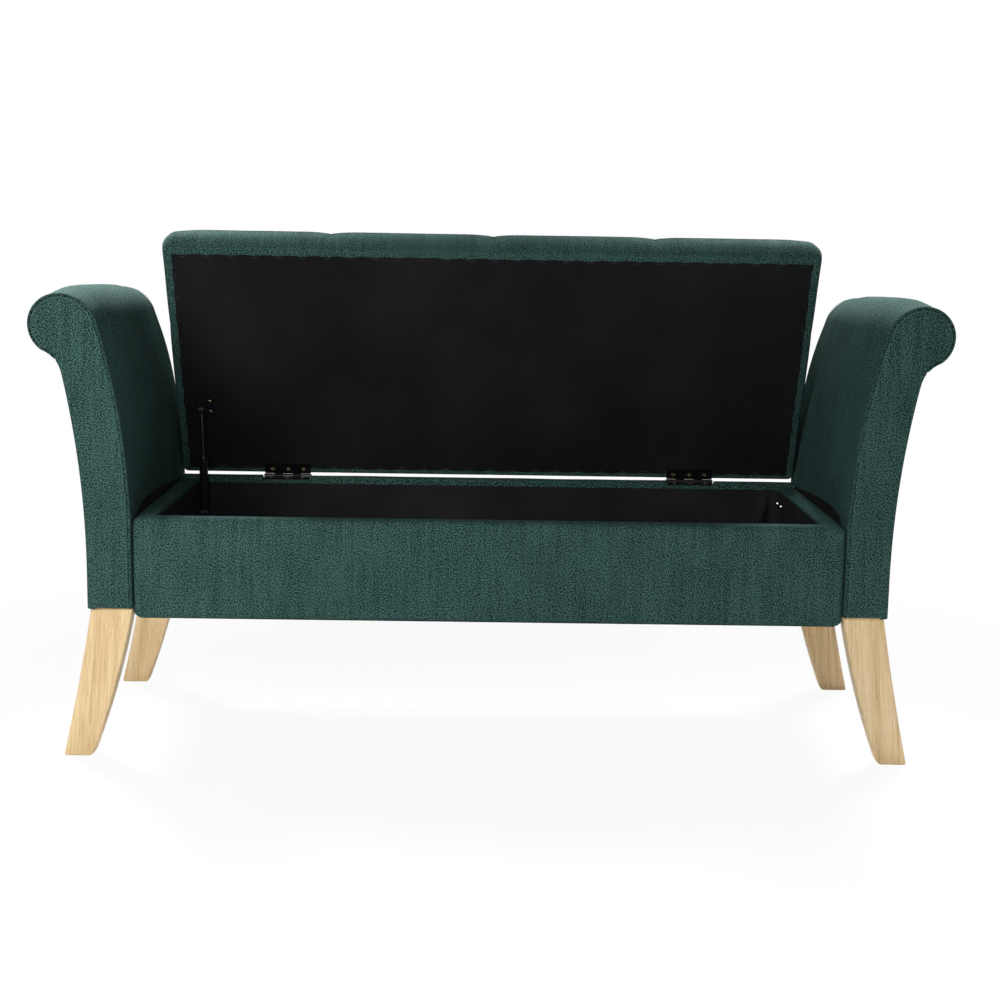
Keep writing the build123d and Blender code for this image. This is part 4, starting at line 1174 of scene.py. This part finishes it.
def staple_rows(name, body, near, far, below):
    """Staples along the four edges of a cloth, each lying along its edge."""
    segments = []
    half = STAPLE_LENGTH / 2
    z = near.z - below
    for x in np.arange(near.x + STAPLE_PITCH / 2, far.x, STAPLE_PITCH):
        for y in (near.y + STAPLE_INSET, far.y - STAPLE_INSET):
            tilt = ripple(STAPLE_TILT, x, y, 0)
            segments.append(((x - half, y - tilt, z), (x + half, y + tilt, z)))
    for y in np.arange(near.y + STAPLE_PITCH, far.y - STAPLE_PITCH / 2, STAPLE_PITCH):
        for x in (near.x + STAPLE_INSET, far.x - STAPLE_INSET):
            tilt = ripple(STAPLE_TILT, x, y, 0)
            segments.append(((x - tilt, y - half, z), (x + tilt, y + half, z)))
    dress(capsules(name, segments, STAPLE_R, staple_metal, 5), body, "zinc_fixing")


# Seat, built shut

def tuft_lines(start, end, count):
    return [start + (end - start) * (index + 1) / (count + 1) for index in range(count)]


TUFT_X = tuft_lines(LID_LOW.x, LID_HIGH.x, TUFT_COLUMNS)
TUFT_Y = tuft_lines(LID_LOW.y, LID_HIGH.y, TUFT_ROWS)


def lid_stops(start, end, pleats):
    """Grid lines over the seat: close together at the edges and beside the pleats."""
    marks = [start + gap for gap in EDGE_GAPS] + [end - gap for gap in EDGE_GAPS]
    for pleat in pleats:
        for gap in PLEAT_GAPS:
            marks.extend({pleat - gap, pleat + gap})
    return spaced(marks, LID_STEP)


def scallop(place, start, end, pleats):
    """Height of the seat across its cells: low at the edges, a crest in each cell."""
    marks = [start, *pleats, end]
    heights = [EDGE_H] + [VALLEY_H] * len(pleats) + [EDGE_H]
    cell = min(len(marks) - 2, max(0, int(np.searchsorted(marks, place, "right")) - 1))
    share = clamp((place - marks[cell]) / (marks[cell + 1] - marks[cell]))
    left, right = heights[cell], heights[cell + 1]
    base = left + share * (right - left)
    return base + (CREST_H - (left + right) / 2) * sin(pi * share) ** CREST_ROUND


def pleat_groove(place, lines):
    return max(bell((place - line) / PLEAT_W) for line in lines)


def seat_height(x, y):
    """The seat's top: the lower of the two scallops, with pleats and buttons drawn in."""
    along = scallop(x, LID_LOW.x, LID_HIGH.x, TUFT_X)
    across = scallop(y, LID_LOW.y, LID_HIGH.y, TUFT_Y)
    blend = max(0.0, CREST_BLEND - abs(along - across)) / CREST_BLEND
    height = min(along, across) - blend**2 * CREST_BLEND / 4
    pleat = max(pleat_groove(x, TUFT_X), pleat_groove(y, TUFT_Y))
    end_y = min(y - LID_LOW.y, LID_HIGH.y - y)
    edge = min(x - LID_LOW.x, LID_HIGH.x - x, end_y)
    inner_share = (1 - PLEAT_EDGE_SHARE) * smooth_step(edge / PLEAT_RUN)
    height -= PLEAT_DEPTH * pleat * (PLEAT_EDGE_SHARE + inner_share)
    for tuft_x in TUFT_X:
        for tuft_y in TUFT_Y:
            height -= DIMPLE_DEPTH * exp(-((x - tuft_x) ** 2 + (y - tuft_y) ** 2) / DIMPLE_R**2)
    from_corner = (LID_HIGH.x - abs(x)) ** 2 + end_y**2
    height -= CORNER_SAG * exp(-from_corner / CORNER_SAG_R**2)
    return height - corner_drop(edge, TOP_EDGE_R) + ripple(SEAT_WAVE, x, y, 0)


def unrolled(place, start, end):
    """A place on the seat's top, measured along the cloth where it rolls over the edge."""
    share = clamp(1 - min(place - start, end - place) / TOP_EDGE_R)
    spare = TOP_EDGE_R * (asin(share) - share)
    return place + (spare if place > (start + end) / 2 else -spare)


def cell_fullness(place, pleats):
    """From 0 at a pleat to 1 in the body of a cell."""
    return 1 - bell(min(abs(place - pleat) for pleat in pleats) / PUFF_GROW)


def rounded_plan(x, y, radius):
    """A grid place moved into a plan with rounded corners."""
    from_y = y - LID_MID_Y
    over_x = (abs(x) - LID_HALF_X + radius) / radius
    over_y = (abs(from_y) - LID_HALF_Y + radius) / radius
    if over_x > 0 and over_y > 0:
        round_x = over_x * sqrt(1 - over_y**2 / 2)
        round_y = over_y * sqrt(1 - over_x**2 / 2)
        x = (LID_HALF_X - radius + radius * round_x) * (1 if x > 0 else -1)
        from_y = (LID_HALF_Y - radius + radius * round_y) * (1 if from_y > 0 else -1)
    return x, LID_MID_Y + from_y


def seat_plan(x, y):
    """The plan of the seat's top: rounder than the board, and full between the pleats."""
    plan_x, plan_y = rounded_plan(x, y, SEAT_PLAN_R)
    front = 1 - smooth_step((y - LID_LOW.y) / PUFF_RUN)
    end = 1 - smooth_step((LID_HALF_X - abs(x)) / PUFF_RUN)
    plan_y -= (SEAT_LEAN + SEAT_PUFF * cell_fullness(x, TUFT_X)) * front
    puff = END_PUFF * end * cell_fullness(y, TUFT_Y)
    return plan_x + (puff if x > 0 else -puff), plan_y


def seat_cover():
    """The seat's cover: tufted top, boxing with the pleats down it, and the wrap under the board."""
    xs = lid_stops(LID_LOW.x, LID_HIGH.x, TUFT_X)
    ys = lid_stops(LID_LOW.y, LID_HIGH.y, TUFT_Y)

    def on_top(y, x):
        uv = (unrolled(x, LID_LOW.x, LID_HIGH.x), unrolled(y, LID_LOW.y, LID_HIGH.y))
        return (*seat_plan(x, y), LID_UNDER + seat_height(x, y)), uv

    top = grid_patch(ys, xs, on_top)
    last_x = len(xs) - 1
    last_y = len(ys) - 1
    ring = [(column, 0) for column in range(last_x)] + [(last_x, row) for row in range(last_y)]
    ring += [(column, last_y) for column in range(last_x, 0, -1)]
    ring += [(0, row) for row in range(last_y, 0, -1)]
    edge = np.array([top[0][row * len(xs) + column] for column, row in ring])
    lower = np.array([rounded_plan(xs[column], ys[row], BOARD_PLAN_R) for column, row in ring])
    run = run_lengths(lower)
    pleats = np.array([
        pleat_groove(ys[row], TUFT_Y) if column in (0, last_x) else pleat_groove(xs[column], TUFT_X)
        for column, row in ring
    ])
    side = []
    side_uv = []
    for share in BOXING:
        plan = lower + (edge[:, :2] - lower) * (1 - share**LEAN_CURVE)
        draw = SIDE_PLEAT_DEPTH * pleats * (1 - SIDE_PLEAT_FADE * share)
        level = edge[:, 2] + share * (LID_UNDER + UNDER_EDGE_R - edge[:, 2])
        place = plan + loop_normals(plan) * (SIDE_BULGE * sin(pi * share) - draw)[:, None]
        side.extend(np.column_stack([place, level]))
        side_uv.extend(zip(run, level))
    halves = np.array((LID_HALF_X, LID_HALF_Y))
    middle = np.array((0.0, LID_MID_Y))
    for inset, rise in UNDER_WRAPS:
        place = middle + (lower - middle) * (halves - inset) / halves
        level = np.full(len(lower), LID_UNDER + UNDER_GAP + UNDER_EDGE_R * rise)
        side.extend(np.column_stack([place, level]))
        side_uv.extend(zip(run, level - inset))
    sides = side, side_uv, grid_faces(len(BOXING) + len(UNDER_WRAPS), len(ring), True)
    patch = joined([top, sides])
    cover("seat_upholstery", patch, (0, 0, 1), "seat_cushion", "lid", sewn=True)


def seat_buttons():
    """Covered buttons drawn down into the seat."""
    profile = [(BUTTON_R * reach, BUTTON_H * rise) for reach, rise in BUTTON_PROFILE]
    base = LID_UNDER + VALLEY_H - BUTTON_SINK
    up = Vector((0, 0, 1))
    middles = [Vector((x, y, base)) for x in TUFT_X for y in TUFT_Y]
    heads = [round_head(middle, up, profile, BUTTON_SIDES, (0, 1)) for middle in middles]
    cover("seat_buttons", joined(heads), up, "tuft_buttons", "lid")


# Legs

def leg_edges(height, foot_r):
    """Inner and outer edge of a right-hand leg at a height above the floor."""
    share = 1 - height / ARM_FOOT_Z
    bow = 4 * share * (1 - share)
    inner = ARM_INNER + LEG_SPLAY * share - LEG_INNER_BOW * bow
    outer = ARM_INNER + LEG_TOP_W + (LEG_SPLAY + LEG_FOOT_W - LEG_TOP_W) * share - LEG_OUTER_BOW * bow
    return inner + corner_drop(height, foot_r), outer - corner_drop(height, LEG_EDGE_R)


def leg_section(inner, outer, front, rear):
    """A rectangle with rounded corners, as points in X and Y, always in the same number."""
    left, right = inner + LEG_EDGE_R, outer - LEG_EDGE_R
    near, far = front + LEG_EDGE_R, rear - LEG_EDGE_R
    corners = [(right, near, -90), (right, far, 0), (left, far, 90), (left, near, 180)]
    arcs = [arc_points((x, y), LEG_EDGE_R, turn, turn + 90, LEG_ARC_STEP) for x, y, turn in corners]
    section = []
    for arc, following in zip(arcs, arcs[1:] + arcs[:1]):
        section.extend(arc)
        section.extend(arc[-1] + share * (following[0] - arc[-1]) for share in LEG_FLATS)
    return section


def leg(end, name, side, number):
    """A sabre leg: a rounded bar swept down its two curved edges, with the grain along it."""
    node = f"{end}_{name}_leg"
    near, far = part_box(node)
    rows = []
    for height in (*FOOT_STATIONS, *np.linspace(LEG_START, ARM_FOOT_Z, LEG_STATIONS)):
        inner, outer = leg_edges(height, FOOT_RADII[end])
        ease = corner_drop(height, LEG_EDGE_R)
        rows.append((height, inner, leg_section(inner, outer, near.y + ease, far.y - ease)))
    shift_x, shift_y = (number * shift for shift in GRAIN_SHIFT)

    def place(row, index):
        height, inner, section = row
        x, y = section[index]
        return (side * x, y, height), (x + y - GRAIN_FOLLOW * inner + shift_x, height + shift_y)

    count = len(rows[0][2])
    patch = capped(grid_patch(rows, range(count), place, closed=True), count, turned=False)
    piece = new_piece(node + "_wood", patch, leg_wood)
    outward_normals(piece.data)
    dress(piece, "frame", "leg_wood", node)


def outward_normals(mesh):
    """Faces a closed mesh outward."""
    centre = sum((vertex.co for vertex in mesh.vertices), Vector()) / len(mesh.vertices)
    volume = sum((face.center - centre).dot(face.normal) * face.area for face in mesh.polygons)
    if volume < 0:
        mesh.flip_normals()


# Hardware keeps its own solids

def finish_solids():
    """Materials for the frame's own solids by the ends of their names, and eased edges."""
    # The screws' darkened brass, the bolt heads' dark finish and the darkened chrome of the rod and
    # gland are painted shade.
    finishes = [
        (brass, "_screws"), (hinge_black, "hinge_pins", "_leaf"), (bolt_heads_painted_shade, "arm_bolts"),
        (zinc, "tee_nuts", "hanger_bolts"), (strut_paint, "strut_cylinder", "_bracket"),
        (rod_painted_shade, "strut_gland", "strut_rod"), (nylon, "strut_piston", "_socket"),
    ]
    for name, solid in frame["nodes"].items():
        found = (made for made, *endings in finishes if name.endswith(tuple(endings)))
        material = next(found, board_wood)
        solid.data.materials.clear()
        solid.data.materials.append(material)
        box_board = name.startswith("box_")
        if solid.hide_render or (material is board_wood and not box_board):
            continue
        if box_board:
            solid.modifiers.new("joined faces", "WELD").merge_threshold = JOIN_GAP
        edge = solid.modifiers.new("eased edges", "BEVEL")
        edge.width = BOARD_EASE if box_board else METAL_EASE
        edge.segments = 2
        edge.limit_method = "ANGLE"
        edge.angle_limit = EASED_ANGLE


def loose_boxes(node):
    """Lowest and highest corner of each separate solid of a node, whose faces share no vertices."""
    mesh = frame["nodes"][node].data
    group = list(range(len(mesh.vertices)))

    def root(index):
        while group[index] != index:
            group[index] = group[group[index]]
            index = group[index]
        return index

    for edge in mesh.edges:
        group[root(edge.vertices[0])] = root(edge.vertices[1])
    places = {}
    for vertex in mesh.vertices:
        shared = places.setdefault(tuple(round(part, 6) for part in vertex.co), vertex.index)
        group[root(vertex.index)] = root(shared)
    solids = {}
    for vertex in mesh.vertices:
        solids.setdefault(root(vertex.index), []).append(vertex.co)
    corners = [np.array(points) for points in solids.values()]
    return [(Vector(points.min(0)), Vector(points.max(0))) for points in corners]


def domes(name, boxes, along, radius, rise, material, slot):
    """Rounded heads on the ends of fixings, standing out along an axis."""
    height = rise + DOME_SINK
    profile = [(radius * cos(turn), height * sin(turn) - DOME_SINK) for turn in DOME_TURNS]
    profile.append((0.0, rise))
    heads = []
    for near, far in boxes:
        middle = (near + far) / 2
        middle += along * abs((far - near).dot(along)) / 2
        heads.append(round_head(middle, along, profile, DOME_SIDES, (1, 2)))
    dress(new_piece(name, joined(heads), material, along), "frame", slot)


def fixing_domes():
    """Domes on the right-hand wall's bolts, the only ones that shine, and screw heads on the rail."""
    bolts = [box for box in loose_boxes("arm_bolts") if box[0].x > 0]
    inward = Vector((-1, 0, 0))
    domes("arm_bolt_domes", bolts, inward, DOME_R, DOME_RISE, bright, "bright_bolt")
    screws = loose_boxes("hinge_rail_screws")
    up = Vector((0, 0, 1))
    # The rail screw heads take the lighter copy of the brass, painted light.
    domes("hinge_screw_heads", screws, up, HEAD_R, HEAD_RISE, brass_painted_light, "brass_screw")


# Stage, light and camera

def seen_directly(tree):
    """1 for rays that come from the camera, a reflection or glass."""
    paths = add(tree, "ShaderNodeLightPath").outputs
    seen = calc(tree, "MAXIMUM", paths["Is Camera Ray"], paths["Is Glossy Ray"])
    return calc(tree, "MAXIMUM", seen, paths["Is Transmission Ray"])


def shade_by(tree, output, share, first, second):
    """Mixes two shaders by a share into a material's or a world's output."""
    mix = add(tree, "ShaderNodeMixShader", {0: share, 1: first.outputs[0], 2: second.outputs[0]})
    feed(tree, tree.nodes[output], {"Surface": mix.outputs[0]})


def white_stage():
    """A white floor that keeps the shadow near the bench and is plain white further out."""
    points = [(x * FLOOR_HALF, y * FLOOR_HALF, 0) for x, y in ((-1, -1), (1, -1), (1, 1), (-1, 1))]
    material, tree, surface = shader("white_floor")
    feed(tree, surface, {"Base Color": (0.86, 0.86, 0.86, 1.0), "Roughness": 0.9})
    glow = add(tree, "ShaderNodeEmission", {"Color": (1, 1, 1, 1), "Strength": 1.0})
    place = add(tree, "ShaderNodeTexCoord").outputs["Object"]
    distance = add(tree, "ShaderNodeVectorMath", {0: place}, operation="LENGTH").outputs["Value"]
    fade = {"Value": distance, "From Min": 0.5, "From Max": 1.3, "To Min": 0.93, "To Max": 1.0}
    far = add(tree, "ShaderNodeMapRange", fade).outputs[0]
    share = calc(tree, "MULTIPLY", seen_directly(tree), far)
    shade_by(tree, "Material Output", share, surface, glow)
    new_piece("floor", (points, None, [(0, 1, 2, 3)]), material, smooth=False)


def studio_world():
    world = bpy.data.worlds.new("studio")
    bpy.context.scene.world = world
    world.use_nodes = True
    tree = world.node_tree
    soft = tree.nodes["Background"]
    feed(tree, soft, {"Color": (1, 1, 1, 1), "Strength": AMBIENT})
    white = add(tree, "ShaderNodeBackground", {"Color": (1, 1, 1, 1), "Strength": 1.0})
    shade_by(tree, "World Output", seen_directly(tree), soft, white)


def area_light(name, place, target, size, power, spread=180):
    data = bpy.data.lights.new(name, "AREA")
    data.shape = "DISK"
    data.size = size
    data.energy = power
    data.spread = radians(spread)
    lamp = bpy.data.objects.new(name, data)
    lamp.location = place
    lamp.rotation_euler = (Vector(target) - Vector(place)).to_track_quat("-Z", "Y").to_euler()
    bpy.context.collection.objects.link(lamp)


def studio_light():
    """A frontal light, a nearer one on the left, and narrow ones behind for the tops of the rolls."""
    area_light("front", (-0.3, -3.2, 1.3), (0, 0, 0.35), size=1.3, power=20.4)
    area_light("near_left", (-1.3, -1.7, 1.25), (-0.5, 0, 0.4), size=0.8, power=5.8, spread=90)
    area_light("right_low", (1.5, -2.6, 0.3), (0, 0, 0.1), size=1.0, power=8)
    area_light("rim_left", (-1.3, 1.3, 2.0), (-0.6, 0, 0.72), size=0.8, power=7.8, spread=30)
    area_light("rim_right", (1.1, 1.4, 2.1), (0.6, 0, 0.66), size=0.8, power=8.3, spread=40)
    area_light("top", (0, 0.3, 2.6), (0, 0, 0.35), size=1.6, power=3)


def photo_camera():
    """The camera at the photograph's angle: slightly above the seat, turned and rolled a touch."""
    yaw, pitch, roll = CAMERA_TURNS
    forward = Vector((sin(yaw) * cos(pitch), cos(yaw) * cos(pitch), -sin(pitch)))
    level = Vector((cos(yaw), -sin(yaw), 0))
    above = level.cross(forward)
    right = level * cos(roll) + above * sin(roll)
    up = above * cos(roll) - level * sin(roll)
    data = bpy.data.cameras.new("photo_camera")
    data.sensor_width = CAMERA_SENSOR
    data.lens = CAMERA_LENS
    camera = bpy.data.objects.new("photo_camera", data)
    turn = Matrix((right, up, -forward)).transposed().to_4x4()
    camera.matrix_world = Matrix.Translation(CAMERA_PLACE) @ turn
    bpy.context.collection.objects.link(camera)
    bpy.context.scene.camera = camera


photo_camera()
studio_world()
studio_light()
white_stage()
for end_name, end_side in ENDS:
    dress_arm(end_name, end_side)
front_cover()
for end_name, end_side in ENDS:
    side_cover(end_name, end_side)
back_cover()
storage_tub()
bottom_cloth()
seat_cover()
seat_buttons()
lid_cloth()
legs = [(leg_end, *bench_end) for leg_end in FOOT_RADII for bench_end in ENDS]
for leg_number, leg_place in enumerate(legs):
    leg(*leg_place, leg_number)
finish_solids()
fixing_domes()
bpy.context.scene.view_settings.view_transform = "Standard"
